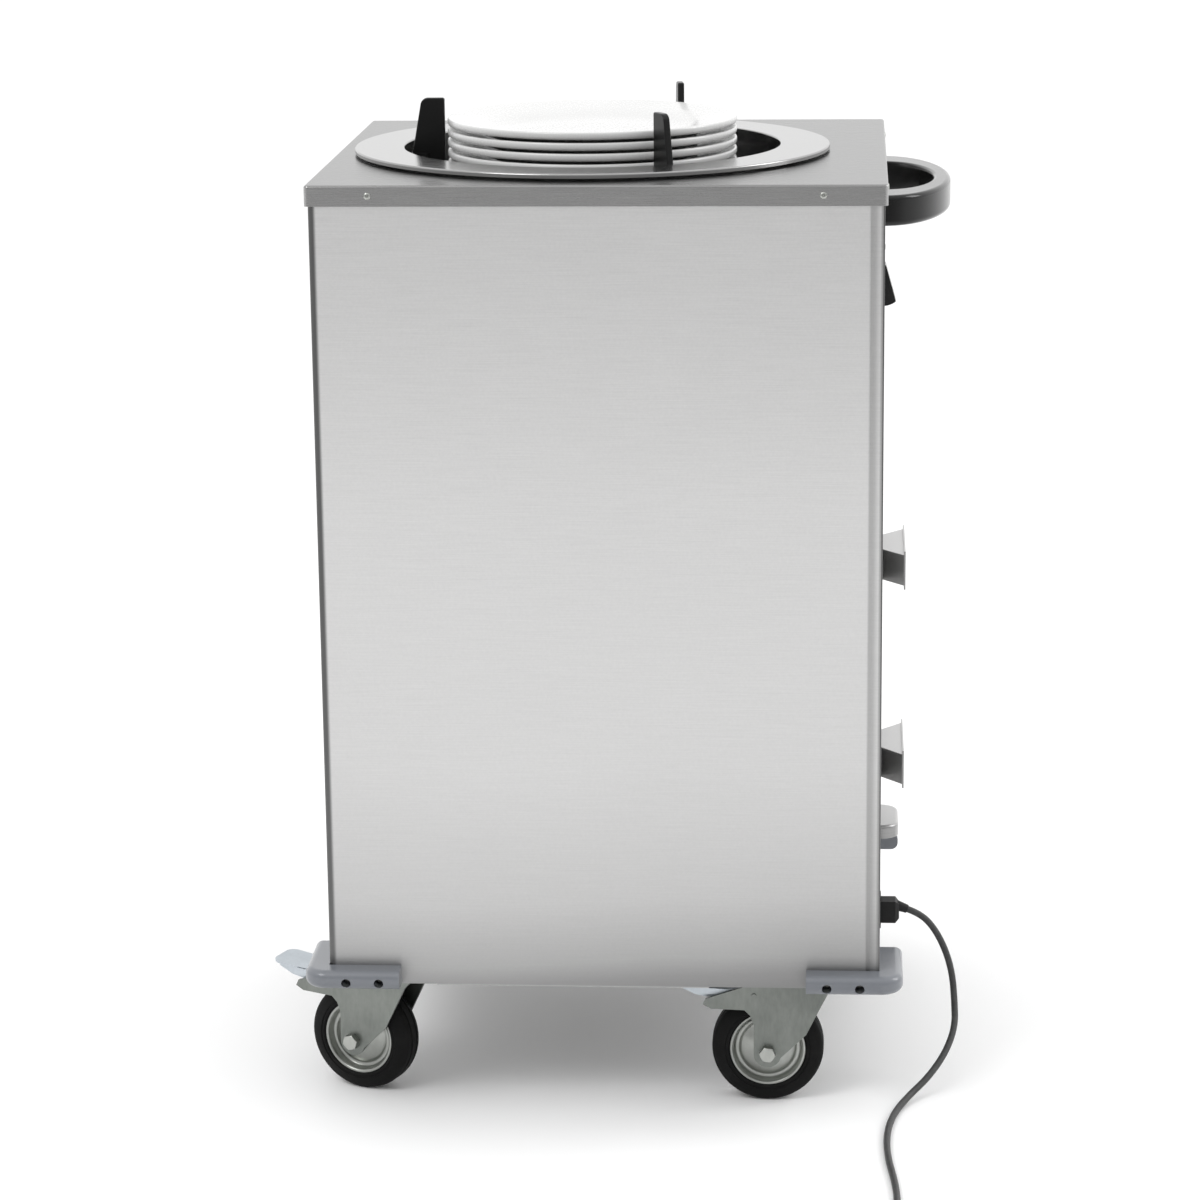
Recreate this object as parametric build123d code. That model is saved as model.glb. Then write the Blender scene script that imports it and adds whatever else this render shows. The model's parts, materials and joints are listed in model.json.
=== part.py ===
from build123d import *
from math import acos, ceil, cos, pi, radians, sin, tan
import os

# Self-levelling heated plate dispenser on casters, in millimetres.
# Origin: on the floor, under the centre of the cabinet. +Z is up, the handle
# and the controls are on the +X side, and the plain front faces -Y.

# ---- driving dimensions: cabinet -------------------------------------------
deck_width = 500.0
deck_depth = 480.0
deck_height = 843.0
skirt_height = 18.0
skirt_gap = 1.0
sheet = 1.5
cabinet_bottom = 121.5
wrap_corner_radius = 6.5
service_strip_width = 7.5
service_groove_width = 4.5
service_tongue_width = 18.0
post_leg = 30.0
post_sheet = 2.0
pan_sheet = 2.0
pan_height = 136.0
pan_flange = 12.0
pan_lip_drop = 1.5
pan_corner_relief = 8.0
pan_lip_from, pan_lip_to = -150.0, 95.0
deck_corner_radius = 4.0
deck_edge_radius = 2.0
rivet_inset = 55.0
rivet_radius = 2.0
rivet_head_radius = 3.2
rivet_head_height = 1.2
rivet_tail = 3.0
rivet_tail_radius = 2.7
rivet_bore_radius = 0.9

# ---- plate tube, flange and guides -----------------------------------------
tube_x, tube_y = -17.5, 0.0
mouth_radius = 171.5
tube_wall = 1.2
tube_bottom = 158.0
tube_rim_width = 14.0
tube_hole_gap = 2.0
flange_width = 45.0
flange_rise = 6.5
flange_lip = 4.0
flange_throat = 42.0
flange_seat_width = 8.0
guide_angles = {"left": 180.0, "front": -61.5, "back": 62.5}
guide_turned = {"left": 0.0, "front": 0.0, "back": 35.0}
guide_wall_gap = 13.5
guide_rod_radius = 5.0
guide_plate_gap = 3.0
guide_rod_foot = 4.0
guide_rod_head = 8.0
guide_collar_width = 3.0
guide_collar_tall = 6.0
guide_blade_thick = 2.0
guide_edge_radius = 1.6
finger_thick = 6.0
finger_rise = 48.5
finger_slope_drop = 1.0
finger_tip_radius = 7.0
finger_inner_tip_radius = 2.0
finger_edge_radius = 1.2
finger_hub_width = 3.5
finger_hub_tall = 10.0
finger_top_width = 21.0
finger_base_width = 30.0
guide_tab_half_width = 11.0
guide_tab_drop = 15.0
guide_tab_sheet = 3.0

# ---- plates and lift --------------------------------------------------------
plate_radius = 132.0
plate_height = 25.0
plate_floor = 5.5
plate_foot = 4.0
plate_foot_inset = 12.0
plate_foot_width = 5.0
plate_shoulder_width = 18.0
plate_rim_width = 30.0
plate_rim_height = 5.0
plate_knee_height = 13.2
plate_count = 12
top_plate_rise = 7.0
platform_margin = 12.0
platform_sheet = 2.5
carrier_drop = 216.0
platform_hole_radius = 15.0
carrier_leg_inset = 28.0
carrier_leg_width = 30.0
carrier_arm_width = 24.0
carrier_hub_radius = 40.0
shoe_size = 16.0
shoe_long = 6.7
shoe_gap = 0.5
spring_angles = (118.0, -2.0, -122.0)
spring_wall_gap = 13.5
spring_radius = 7.0
spring_wire = 1.8
spring_end = 12.0
spring_drop = 29.0
hanger_half_width = 5.0
hanger_depth = 6.0
hanger_rise = 15.0

# ---- heating and wiring -----------------------------------------------------
element_inset = 22.0
element_radius = 4.25
element_height = 180.0
element_gap_angle = 24.0
clip_width = 16.0
clip_sheet = 1.5
clip_foot = 12.0
clip_angles = (60.0, 180.0, 300.0)
terminal_size = (44.0, 60.0, 70.0)
terminal_wall = 3.0
terminal_gap = 7.5
terminal_y = -36.0
terminal_cable_radius = 5.0
thermostat_z = 238.0
thermostat_radius = 12.0
thermostat_depth = 14.0
thermostat_tab = (6.0, 18.0, 16.0)

# ---- handle and side fittings ----------------------------------------------
handle_drop = 23.0
handle_tall = 27.0
handle_half_length = 141.0
handle_reach = 61.0
handle_grip = 16.0
handle_gap_half = 95.0
handle_edge = 4.0
handle_screw_rise = 7.0
handle_screw_inset = 2.0
handle_screw_depth = 12.0
switch_z = 720.0
switch_radius = 19.0
switch_half_thick = 7.5
switch_half_width = 10.5
switch_tilt = 15.5
switch_axis_out = 0.6
bezel_half_width = 14.5
bezel_half_height = 22.5
bezel_proud = 1.6
bezel_corner = 2.5
switch_wall = 1.5
switch_can_depth = 30.0
switch_can_floor = 9.0
switch_pin_radius = 1.5
switch_pin_reach = 1.8
rocker_edge = 1.6
lamp_z = 754.0
lamp_radius = 6.2
lamp_proud = 3.0
lamp_stem_radius = 4.34
lamp_stem_long = 22.0
cleat_heights = {"upper": 462.5, "lower": 272.0}
cleat_reach = 22.8
cleat_panel_length = 56.0
cleat_web_length = 110.0
cleat_channel = 28.8
cleat_web_height = 36.0
cleat_sheet = 1.5
hood_z = 204.5
hood_length = 72.0
hood_tall = 12.5
hood_reach = 18.5
hood_corner = 16.5
hood_edge = 3.0
inlet_length = 50.4
inlet_drop, inlet_rise = 6.0, 3.75
gland_y, gland_z = -100.0, 150.0
gland_flange = (2.0, 24.0, 30.0)
gland_block = (16.9, 17.0, 20.6)
gland_exit_rise = 3.5
gland_boot = 8.0
gland_droop = 20.0
gland_stem_radius = 6.5
gland_nut_radius = 9.8
gland_nut_thick = 5.0
gland_stem_long = 16.0
gland_corner = 3.0
gland_chamfer = 3.5
gland_boot_radii = (4.8, 3.9)
gland_boot_start = 2.0

# ---- bumpers ----------------------------------------------------------------
bumper_arm = 86.5
bumper_tall = 17.0
bumper_thick = 21.0
bumper_corner = 20.0
bumper_round = 7.0
bumper_screw_spots = (18.5, 47.9)
bumper_pocket_radius = 4.3
bumper_pocket_floor = 5.0
bumper_screw_share = 0.38
screw_radius = 2.1
screw_head_radius = 3.9
screw_head_height = 2.6
screw_bite = 6.0

# ---- casters ----------------------------------------------------------------
swivel_inset_x = 60.5
trail_angles = {"front_right": 180.0, "front_left": 158.0,
                "rear_right": 160.0, "rear_left": 192.0}
braked = ("front_right", "front_left")
wheel_radius = 50.8
tyre_width = 32.0
tyre_round = 9.0
tyre_wall = 16.2
rim_ring = 4.0
rim_disc_inset = 5.6
rim_step = 3.0
rim_cone = 5.0
hub_radius = 11.0
hub_half = 22.0
trail = 40.0
cheek_sheet = 2.5
cheek_gap = 0.4
caster_plate = (100.0, 85.0, 3.0)
caster_hole_pitch = (80.0, 60.0)
caster_bolt_radius = 4.0
caster_plate_corner = 6.0
caster_bolt_head = 4.5
caster_nut = 5.0
caster_bolt_end = 7.0
raceway_radius = 28.0
fork_crown = 116.0
fork_crown_sheet = 3.0
fork_front, fork_back = 24.0, 54.0
fork_leg = 12.5
king_pin_radius = 6.0
axle_radius = 4.0
bolt_head_across = 13.0
bolt_head_height = 6.5
brake_pivot = (52.3, 105.0)
brake_pin_radius = 2.5
pedal_arm_gap = 1.0
pedal_arm_sheet = 2.0
pedal_corner = 9.0
pedal_tip = 128.0
pedal_width = 36.0

# ---- mains cord -------------------------------------------------------------
cord_diameter = 6.2
coil_outer_turn = 47.0
coil_centre = (215.0, -556.0)
coil_turn_gap = 0.6
coil_layer_gap = 0.45
coil_half_turns_in = 5
coil_half_turns_out = 4
coil_tail = 42.0
plug_width = 30.0
plug_relief = 22.0
plug_body = 32.0
plug_pin_spacing = 12.7
plug_blade = (6.3, 1.5, 17.5)
plug_earth_pin = (2.4, 11.9, 20.0)

# ---- clearances -------------------------------------------------------------
running_fit = 0.05
throat_gap = 0.2
loose_fit = 0.3
rivet_fit = 0.05

# ---- places worked out from them -------------------------------------------
body_x = deck_width / 2 - sheet - skirt_gap
body_y = deck_depth / 2 - sheet - skirt_gap
rivet_x, rivet_y = deck_width / 2 - rivet_inset, deck_depth / 2 - rivet_inset
swivel_x = body_x - swivel_inset_x
swivel_y = body_y - 2 * sheet - pan_sheet - caster_plate[1] / 2
deck_under = deck_height - sheet
tube_radius = mouth_radius + sheet + throat_gap
flange_radius = mouth_radius + flange_width
guide_axis_radius = mouth_radius - guide_wall_gap
element_circle = plate_radius - element_inset
guide_inner_radius = plate_radius + guide_plate_gap
guide_tab_z = deck_height - guide_tab_drop
finger_top = deck_height + finger_rise
spring_circle = mouth_radius - spring_wall_gap
spring_top = deck_height - spring_drop
plate_well_radius = plate_radius - plate_rim_width - plate_shoulder_width
plate_foot_radius = plate_well_radius - plate_foot_inset
platform_radius = plate_radius - platform_margin
carrier_leg_radius = platform_radius - carrier_leg_inset
carrier_arm_end = tube_radius - shoe_gap - shoe_long
top_plate_z = deck_height + top_plate_rise
handle_top = deck_height - handle_drop
rim_radius = wheel_radius - tyre_wall
axle_height = wheel_radius
platform_z = top_plate_z - (plate_count - 1) * (plate_floor + plate_foot)
carrier_z = platform_z - carrier_drop
floor_rest = cord_diameter / 2

os.makedirs("parts", exist_ok=True)


def save(shape, name):
    """Writes one sub-part, a solid or a group of separate solids, under its own name."""
    shape.label = name
    export_step(shape, f"parts/{name}.step")
    print(f"{name}: {len(shape.solids())} solids, {shape.volume / 1000:.2f} cm3")


def block(x0, x1, y0, y1, z0, z1):
    return Pos((x0 + x1) / 2, (y0 + y1) / 2, (z0 + z1) / 2) * Box(x1 - x0, y1 - y0, z1 - z0)


def rod(x, y, z0, z1, radius):
    return Pos(x, y, (z0 + z1) / 2) * Cylinder(radius, z1 - z0)


def rod_between(start, end, radius):
    """A round rod from one point to another."""
    start, end = Vector(*start), Vector(*end)
    plane = Plane(origin=start, z_dir=end - start)
    return extrude(plane * Circle(radius), (end - start).length)


def turned(profile, centre=(0.0, 0.0)):
    """Spins a profile drawn in X (radius) and Z around the vertical line through centre."""
    return Pos(centre[0], centre[1], 0) * revolve(profile, Axis.Z)


def outline(points):
    """A closed face in the XZ plane through the points, as (radius, height) pairs."""
    return make_face(Plane.XZ * Polyline(*points, close=True))


def around(centre, radius, angle):
    return (centre[0] + radius * cos(radians(angle)), centre[1] + radius * sin(radians(angle)))


def joined(shapes):
    whole = shapes[0]
    for shape in shapes[1:]:
        whole += shape
    return whole


def group(shapes):
    return Compound(children=[solid for shape in shapes for solid in shape.solids()])


tube_centre = (tube_x, tube_y)

# ============================ cabinet ========================================


def rivet_places():
    """(point on the skirt's outer face, direction into the cabinet) of each blind rivet."""
    z = deck_height - skirt_height / 2
    places = []
    for side in (-1, 1):
        for x in (-rivet_x, rivet_x):
            places.append(((x, side * deck_depth / 2, z), (0, -side, 0)))
        for y in (-rivet_y, rivet_y):
            places.append(((side * deck_width / 2, y, z), (-side, 0, 0)))
    return places


def rivet_holes():
    depth = sheet + skirt_gap + sheet + 2 * rivet_tail
    holes = []
    for (x, y, z), (dx, dy, _) in rivet_places():
        start = (x - dx * rivet_tail, y - dy * rivet_tail, z)
        end = (x + dx * depth, y + dy * depth, z)
        holes.append(rod_between(start, end, rivet_radius + rivet_fit))
    return joined(holes)


def rivets():
    """Blind rivets that hold the deck's skirt to the cabinet: head, stem and the set tail."""
    made = []
    grip = sheet + skirt_gap + sheet
    for (x, y, z), (dx, dy, _) in rivet_places():
        head = rod_between((x - dx * rivet_head_height, y - dy * rivet_head_height, z), (x, y, z),
                           rivet_head_radius)
        stem = rod_between((x, y, z), (x + dx * grip, y + dy * grip, z), rivet_radius)
        tail = rod_between((x + dx * grip, y + dy * grip, z),
                           (x + dx * (grip + rivet_tail), y + dy * (grip + rivet_tail), z),
                           rivet_tail_radius)
        bore = rod_between((x - dx * 2 * rivet_head_height, y - dy * 2 * rivet_head_height, z),
                           (x + dx * grip, y + dy * grip, z), rivet_bore_radius)
        made.append(joined([head, stem, tail]) - bore)
    return made


def top_deck():
    outer = block(-deck_width / 2, deck_width / 2, -deck_depth / 2, deck_depth / 2,
                  deck_height - skirt_height, deck_height)
    outer = fillet(outer.edges().filter_by(Axis.Z), deck_corner_radius)
    outer = fillet(outer.faces().sort_by(Axis.Z)[-1].edges(), deck_edge_radius)
    inner = block(-deck_width / 2 + sheet, deck_width / 2 - sheet,
                  -deck_depth / 2 + sheet, deck_depth / 2 - sheet,
                  deck_height - skirt_height - 1, deck_under)
    inner = fillet(inner.edges().filter_by(Axis.Z), deck_corner_radius - sheet)
    hole = rod(tube_x, tube_y, deck_under - 1, deck_height + 1, tube_radius + tube_wall + tube_hole_gap)
    return outer - inner - hole - rivet_holes()


def cabinet_wrap():
    """Front, left side and back in one bent sheet, open towards the service panel."""
    reach = body_x - service_strip_width - service_groove_width
    far = body_x * 2
    outer = block(-body_x, far, -body_y, body_y, cabinet_bottom, deck_under)
    inner = block(-body_x + sheet, far + 1, -body_y + sheet, body_y - sheet,
                  cabinet_bottom - 1, deck_under + 1)
    left = ShapeList([e for e in outer.edges().filter_by(Axis.Z) if e.center().X < 0])
    outer = fillet(left, wrap_corner_radius)
    left = ShapeList([e for e in inner.edges().filter_by(Axis.Z) if e.center().X < 0])
    inner = fillet(left, wrap_corner_radius - sheet)
    cut = block(reach, far + 2, -body_y - 1, body_y + 1, cabinet_bottom - 1, deck_under + 1)
    return outer - inner - cut - rivet_holes() - bumper_screw_holes()


def service_panel():
    """The right side, with its folded front and rear returns: a strip flush with the
    front, a shallow groove, and a tongue that lies behind the wrap's edge."""
    strip = body_x - service_strip_width
    tongue = body_x - service_strip_width - service_groove_width - service_tongue_width
    plate = block(body_x - sheet, body_x, -body_y, body_y, cabinet_bottom, deck_under)
    pieces = [plate]
    for side in (-1, 1):
        pieces.append(block(strip, body_x - sheet / 2, *sorted((side * body_y, side * (body_y - sheet))),
                            cabinet_bottom, deck_under))
        pieces.append(block(strip - sheet, strip, *sorted((side * body_y, side * (body_y - 2 * sheet))),
                            cabinet_bottom, deck_under))
        pieces.append(block(tongue, strip, *sorted((side * (body_y - sheet), side * (body_y - 2 * sheet))),
                            cabinet_bottom, deck_under))
    panel = joined(pieces)
    corners = ShapeList([e for e in panel.edges().filter_by(Axis.Z)
                         if e.center().X > body_x - 0.1 and abs(e.center().Y) > body_y - 0.1])
    panel = fillet(corners, sheet * 0.9)
    window = block(body_x - 5, body_x + 5, -switch_half_width - switch_wall - 0.5,
                   switch_half_width + switch_wall + 0.5,
                   switch_z - switch_radius - switch_wall, switch_z + switch_radius + switch_wall)
    lamp = rod_between((body_x - 5, 0, lamp_z), (body_x + 5, 0, lamp_z), lamp_stem_radius + 0.2)
    cable = rod_between((body_x - 5, gland_y, gland_z), (body_x + 5, gland_y, gland_z),
                        gland_stem_radius + loose_fit)
    inlet = block(body_x - 5, body_x + 5, -inlet_length / 2, inlet_length / 2,
                  hood_z - inlet_drop, hood_z + inlet_rise)
    panel = panel - window - lamp - inlet - cable - rivet_holes() - bumper_screw_holes()
    for y, z in handle_screw_spots():
        panel -= rod_between((body_x - 5, y, z), (body_x + 5, y, z), screw_radius + rivet_fit)
    return panel


def base_pan():
    """The floor of the cabinet: a flat sheet with folded-down edges that the panels are
    fixed to, a low lip showing under the front, and holes for the caster bolts."""
    x, y = body_x - sheet, body_y - sheet
    tongue = body_x - service_strip_width - service_groove_width - service_tongue_width
    top = pan_height + pan_sheet
    pan = block(-x, x, -y, y, pan_height - pan_flange, top)
    pan = fillet(pan.edges().filter_by(Axis.Z), wrap_corner_radius - sheet)
    inside_y = y - sheet - pan_sheet
    pan -= block(-x + pan_sheet, x - pan_sheet, -inside_y, inside_y, pan_height - pan_flange - 1, pan_height)
    for side in (-1, 1):
        pan -= block(tongue - 0.5, x + 1, *sorted((side * (y - sheet), side * (y + 1))),
                     pan_height - pan_flange - 1, top + 1)
    for sx in (-1, 1):
        for sy in (-1, 1):
            pan -= block(*sorted((sx * (x - pan_corner_relief), sx * (x + 1))),
                         *sorted((sy * (y - pan_corner_relief), sy * (y + 1))),
                         pan_height - pan_flange - 1, pan_height)
    pan += block(pan_lip_from, pan_lip_to, -y, -y + pan_sheet, cabinet_bottom - pan_lip_drop,
                 pan_height - pan_flange + 1)
    for sx, sy, dx, dy in caster_bolt_spots():
        pan -= rod(sx + dx, sy + dy, pan_height - 5, top + 5, caster_bolt_radius + rivet_fit)
    return pan - bumper_screw_holes()


def corner_posts():
    """Four upright angles from the base pan to the deck, one in each corner."""
    posts = []
    for sx in (-1, 1):
        for sy in (-1, 1):
            x = body_x - sheet
            y = body_y - (sheet if sx < 0 else 2 * sheet)
            outer = block(*sorted((sx * x, sx * (x - post_leg))), *sorted((sy * y, sy * (y - post_leg))),
                          pan_height + pan_sheet, deck_under)
            inner = block(*sorted((sx * (x - post_sheet), sx * (x - post_leg - 1))),
                          *sorted((sy * (y - post_sheet), sy * (y - post_leg - 1))),
                          pan_height, deck_under + 1)
            post = outer - inner
            corner = ShapeList([e for e in post.edges().filter_by(Axis.Z)
                                if abs(abs(e.center().X) - x) < 0.01 and abs(abs(e.center().Y) - y) < 0.01])
            posts.append(fillet(corner, wrap_corner_radius - sheet) - rivet_holes())
    return posts


# ============================ tube and guides ================================


def guide_axis(name):
    return around(tube_centre, guide_axis_radius, guide_angles[name])


def plate_tube():
    """The thin steel tube that the plates go down in. Its turned-out rim hangs on the deck,
    and three tabs at its foot carry the lower ends of the guide rods."""
    inner, outer = tube_radius, tube_radius + tube_wall
    rim = outer + tube_rim_width
    wall = outline([(inner, tube_bottom), (outer, tube_bottom), (outer, deck_height), (rim, deck_height),
                    (rim, deck_height + tube_wall), (inner, deck_height + tube_wall)])
    tube = turned(wall, tube_centre)
    for angle in guide_angles.values():
        tab = block(guide_axis_radius - guide_tab_half_width, inner + tube_wall / 2,
                    -guide_tab_half_width, guide_tab_half_width, tube_bottom, tube_bottom + guide_tab_sheet)
        tab -= rod(guide_axis_radius, 0, tube_bottom - 1, tube_bottom + 5, guide_rod_radius + running_fit)
        tube += Pos(tube_x, tube_y, 0) * Rot(0, 0, angle) * tab
    return tube


def tube_flange():
    """The raised collar round the mouth: a throat inside the tube, a flat ring, and a
    rolled edge that hovers over the deck. Three tabs in the throat steady the guides."""
    top = deck_height + flange_rise
    ring = outline([
        (mouth_radius, top - flange_throat), (mouth_radius + sheet, top - flange_throat),
        (mouth_radius + sheet, top - sheet), (flange_radius - sheet, top - sheet),
        (flange_radius - sheet, top - flange_lip), (flange_radius, top - flange_lip),
        (flange_radius, top), (mouth_radius, top)])
    flange = turned(ring, tube_centre)
    upper = ShapeList([e for e in flange.edges().filter_by(GeomType.CIRCLE)
                       if abs(e.center().Z - top) < 0.01])
    flange = fillet(upper, sheet * 0.95)
    seat_in = tube_radius + tube_wall
    seat_out = seat_in + flange_seat_width
    seat = outline([(seat_in, deck_height + tube_wall), (seat_out, deck_height + tube_wall),
                    (seat_out, top - sheet / 2), (seat_in, top - sheet / 2)])
    flange += turned(seat, tube_centre)
    for angle in guide_angles.values():
        tab = block(guide_axis_radius - guide_tab_half_width, mouth_radius + sheet / 2,
                    -guide_tab_half_width, guide_tab_half_width, guide_tab_z, guide_tab_z + guide_tab_sheet)
        tab -= rod(guide_axis_radius, 0, guide_tab_z - 1, guide_tab_z + 5, guide_rod_radius + running_fit)
        flange += Pos(tube_x, tube_y, 0) * Rot(0, 0, angle) * tab
    for angle in spring_angles:
        flange += Pos(tube_x, tube_y, 0) * Rot(0, 0, angle) * spring_hanger()
    return flange


def spring_hanger():
    """A bent tab in the throat that a lift spring hooks into."""
    high = deck_height + flange_rise - flange_throat + hanger_rise
    return block(spring_circle - hanger_depth, mouth_radius + sheet / 2,
                 -hanger_half_width, hanger_half_width, spring_top, high)


def in_guide_frame(name, shape):
    """Places a piece drawn with the guide's pivot at the origin and the plates towards -X."""
    x, y = guide_axis(name)
    return Pos(x, y, 0) * Rot(0, 0, guide_angles[name] + guide_turned[name]) * shape


def guide_rod(name):
    """The upright pivot rod with the long blade that the plate edges slide along."""
    inner = guide_inner_radius - guide_axis_radius
    low = tube_bottom + guide_tab_sheet + loose_fit
    high = guide_tab_z - loose_fit
    shaft = rod(0, 0, tube_bottom - guide_rod_foot, guide_tab_z + guide_tab_sheet + guide_rod_head,
                guide_rod_radius)
    blade = block(inner, 0, -guide_blade_thick / 2, guide_blade_thick / 2, low, high)
    edge = rod(inner + guide_edge_radius, 0, low, high, guide_edge_radius)
    collar = rod(0, 0, low, low + guide_collar_tall, guide_rod_radius + guide_collar_width)
    return in_guide_frame(name, shaft + blade + edge + collar)


def guide_finger(name):
    """The black moulded finger on top of a guide: upright towards the plates, sloped away
    from them, rounded over at the top."""
    inner = guide_inner_radius - guide_axis_radius
    base = guide_tab_z + guide_tab_sheet + loose_fit
    slope_foot = deck_height - finger_slope_drop
    outer = inner + finger_base_width
    profile = outline([(inner, base), (outer, base), (outer, slope_foot),
                       (inner + finger_top_width, finger_top), (inner, finger_top)])
    finger = extrude(profile, finger_thick / 2, both=True)
    tips = finger.edges().filter_by(Axis.Y).group_by(Axis.Z)[-1].sort_by(Axis.X)
    finger = fillet(tips[-1:], finger_tip_radius)
    tips = finger.edges().filter_by(Axis.Y).group_by(Axis.Z)[-1].sort_by(Axis.X)
    finger = fillet(tips[:1], finger_inner_tip_radius)
    finger = fillet(finger.edges().filter_by(Axis.Z), finger_edge_radius)
    hub = rod(0, 0, base, base + finger_hub_tall, guide_rod_radius + finger_hub_width)
    foot = block(inner + finger_base_width / 2, 0, -finger_thick / 2, finger_thick / 2,
                 base, base + finger_hub_tall)
    rod_top = guide_tab_z + guide_tab_sheet + guide_rod_head
    socket = rod(0, 0, base - 1, rod_top + loose_fit, guide_rod_radius + rivet_fit)
    return in_guide_frame(name, joined([finger, foot, hub]) - socket)


# ============================ plates and lift ================================


def plate(z):
    """A coupe plate with a foot ring; its foot stands in the well of the one below."""
    foot_in = plate_foot_radius - plate_foot_width
    well_top = plate_foot + plate_floor
    knee = plate_radius - plate_rim_width
    profile = outline([
        (0, plate_foot), (foot_in, plate_foot), (foot_in, 0), (plate_foot_radius, 0),
        (plate_foot_radius, plate_foot), (plate_well_radius, plate_foot + 0.5),
        (knee, plate_knee_height), (plate_radius - 2.5, plate_height - plate_rim_height),
        (plate_radius, plate_height - plate_rim_height + 1.5), (plate_radius, plate_height - 1.0),
        (plate_radius - 1.5, plate_height), (knee + 1.0, plate_knee_height + 5.8),
        (plate_well_radius + 1.5, well_top + 1.2), (plate_well_radius - 6.0, well_top), (0, well_top)])
    return Pos(tube_x, tube_y, z) * revolve(profile, Axis.Z)


def plates():
    pitch = plate_floor + plate_foot
    return [plate(platform_z + i * pitch) for i in range(plate_count)]


def lift_platform():
    """The carrier: a round table for the plates on three legs, with a spider below whose
    arms the springs pull up."""
    table = rod(tube_x, tube_y, platform_z - platform_sheet, platform_z, platform_radius)
    hub = rod(tube_x, tube_y, carrier_z - platform_sheet, carrier_z, carrier_hub_radius)
    pieces = [table, hub]
    for angle in spring_angles:
        place = Pos(tube_x, tube_y, 0) * Rot(0, 0, angle)
        leg = block(carrier_leg_radius - platform_sheet, carrier_leg_radius, -carrier_leg_width / 2,
                    carrier_leg_width / 2, carrier_z - platform_sheet, platform_z - platform_sheet / 2)
        arm = block(carrier_hub_radius - 6, carrier_arm_end, -carrier_arm_width / 2,
                    carrier_arm_width / 2, carrier_z - platform_sheet, carrier_z)
        pieces += [place * leg, place * arm]
    carrier = joined(pieces)
    for i in range(6):
        x, y = around(tube_centre, platform_radius * 0.55, 30 + 60 * i)
        carrier -= rod(x, y, platform_z - 5, platform_z + 1, platform_hole_radius)
    return carrier


def lift_shoes():
    """Nylon shoes on the arm ends that slide down the tube wall."""
    shoes = []
    for angle in spring_angles:
        arm = block(carrier_arm_end, tube_radius - shoe_gap, -shoe_size / 2, shoe_size / 2,
                    carrier_z - shoe_size / 2, carrier_z + shoe_size / 2)
        shoes.append(Pos(tube_x, tube_y, 0) * Rot(0, 0, angle) * arm)
    return shoes


def lift_springs():
    """Three closed-coil extension springs, drawn as tubes, hooked to the hangers above and
    to the carrier's arms below."""
    springs = []
    for angle in spring_angles:
        x, y = around(tube_centre, spring_circle, angle)
        body = rod(x, y, carrier_z, spring_top, spring_radius)
        bore = rod(x, y, carrier_z + spring_end, spring_top - spring_end, spring_radius - spring_wire)
        springs.append(body - bore)
    return springs


# ============================ heating ========================================


def heating_element():
    """A sheathed ring element above the base pan, open at one end for its two cold ends."""
    half = element_gap_angle / 2
    ring = JernArc(start=around((0, 0), element_circle, half),
                   tangent=(-sin(radians(half)), cos(radians(half))),
                   radius=element_circle, arc_size=360 - element_gap_angle)
    sheath = sweep(Plane(origin=ring @ 0, z_dir=ring % 0) * Circle(element_radius), path=ring)
    ends = []
    for side in (-1, 1):
        x, y = around((0, 0), element_circle, side * half)
        ends.append(rod(x, y, -32, element_radius * 0.4, element_radius * 0.8))
    return Pos(tube_x, tube_y, element_height) * joined([sheath] + ends)


def element_clips():
    """Folded clips that stand on the base pan and carry the element."""
    clips = []
    top = pan_height + pan_sheet
    under = element_height - element_radius
    for angle in clip_angles:
        post = block(element_circle - clip_sheet / 2, element_circle + clip_sheet / 2,
                     -clip_width / 2, clip_width / 2, top, under - 0.1)
        foot = block(element_circle - clip_foot, element_circle + clip_sheet / 2,
                     -clip_width / 2, clip_width / 2, top, top + clip_sheet)
        clips.append(Pos(tube_x, tube_y, 0) * Rot(0, 0, angle) * (post + foot))
    return clips


def terminal_box():
    """The wiring box behind the service panel, on the base pan."""
    top = pan_height + pan_sheet
    deep, wide, tall = terminal_size
    x, y, z = body_x - terminal_gap - deep / 2, terminal_y, top + tall / 2
    box = fillet(Box(deep, wide, tall).edges().filter_by(Axis.Z), terminal_wall)
    cavity = Box(deep - 2 * terminal_wall, wide - 2 * terminal_wall, tall - 2 * terminal_wall)
    cable_z = top + terminal_wall + terminal_cable_radius + 4
    cable = rod_between((x - deep, y, cable_z), (x - deep / 2 + terminal_wall + 1, y, cable_z),
                        terminal_cable_radius)
    return Pos(x, y, z) * (box - cavity) - cable


def thermostat():
    """Bimetal limiter on a tab against the tube's wall."""
    x = tube_x + tube_radius + tube_wall
    back = x + thermostat_depth
    deep, wide, tall = thermostat_tab
    stud = rod_between((x + 0.2, 0, thermostat_z), (back, 0, thermostat_z), thermostat_radius)
    tab = block(back, back + deep, -wide / 2, wide / 2, thermostat_z - tall / 2, thermostat_z + tall / 2)
    return stud + tab


# ============================ side fittings ==================================


def plane_at(z):
    """A level plane whose middle is on the service panel's face."""
    return Plane(origin=(body_x, 0, z), z_dir=(0, 0, 1))


def handle_screw_spots():
    y = (handle_half_length + handle_gap_half) / 2 - handle_screw_inset
    z = handle_top - handle_tall / 2
    return [(side * y, z + dz) for side in (-1, 1) for dz in (-handle_screw_rise, handle_screw_rise)]


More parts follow.
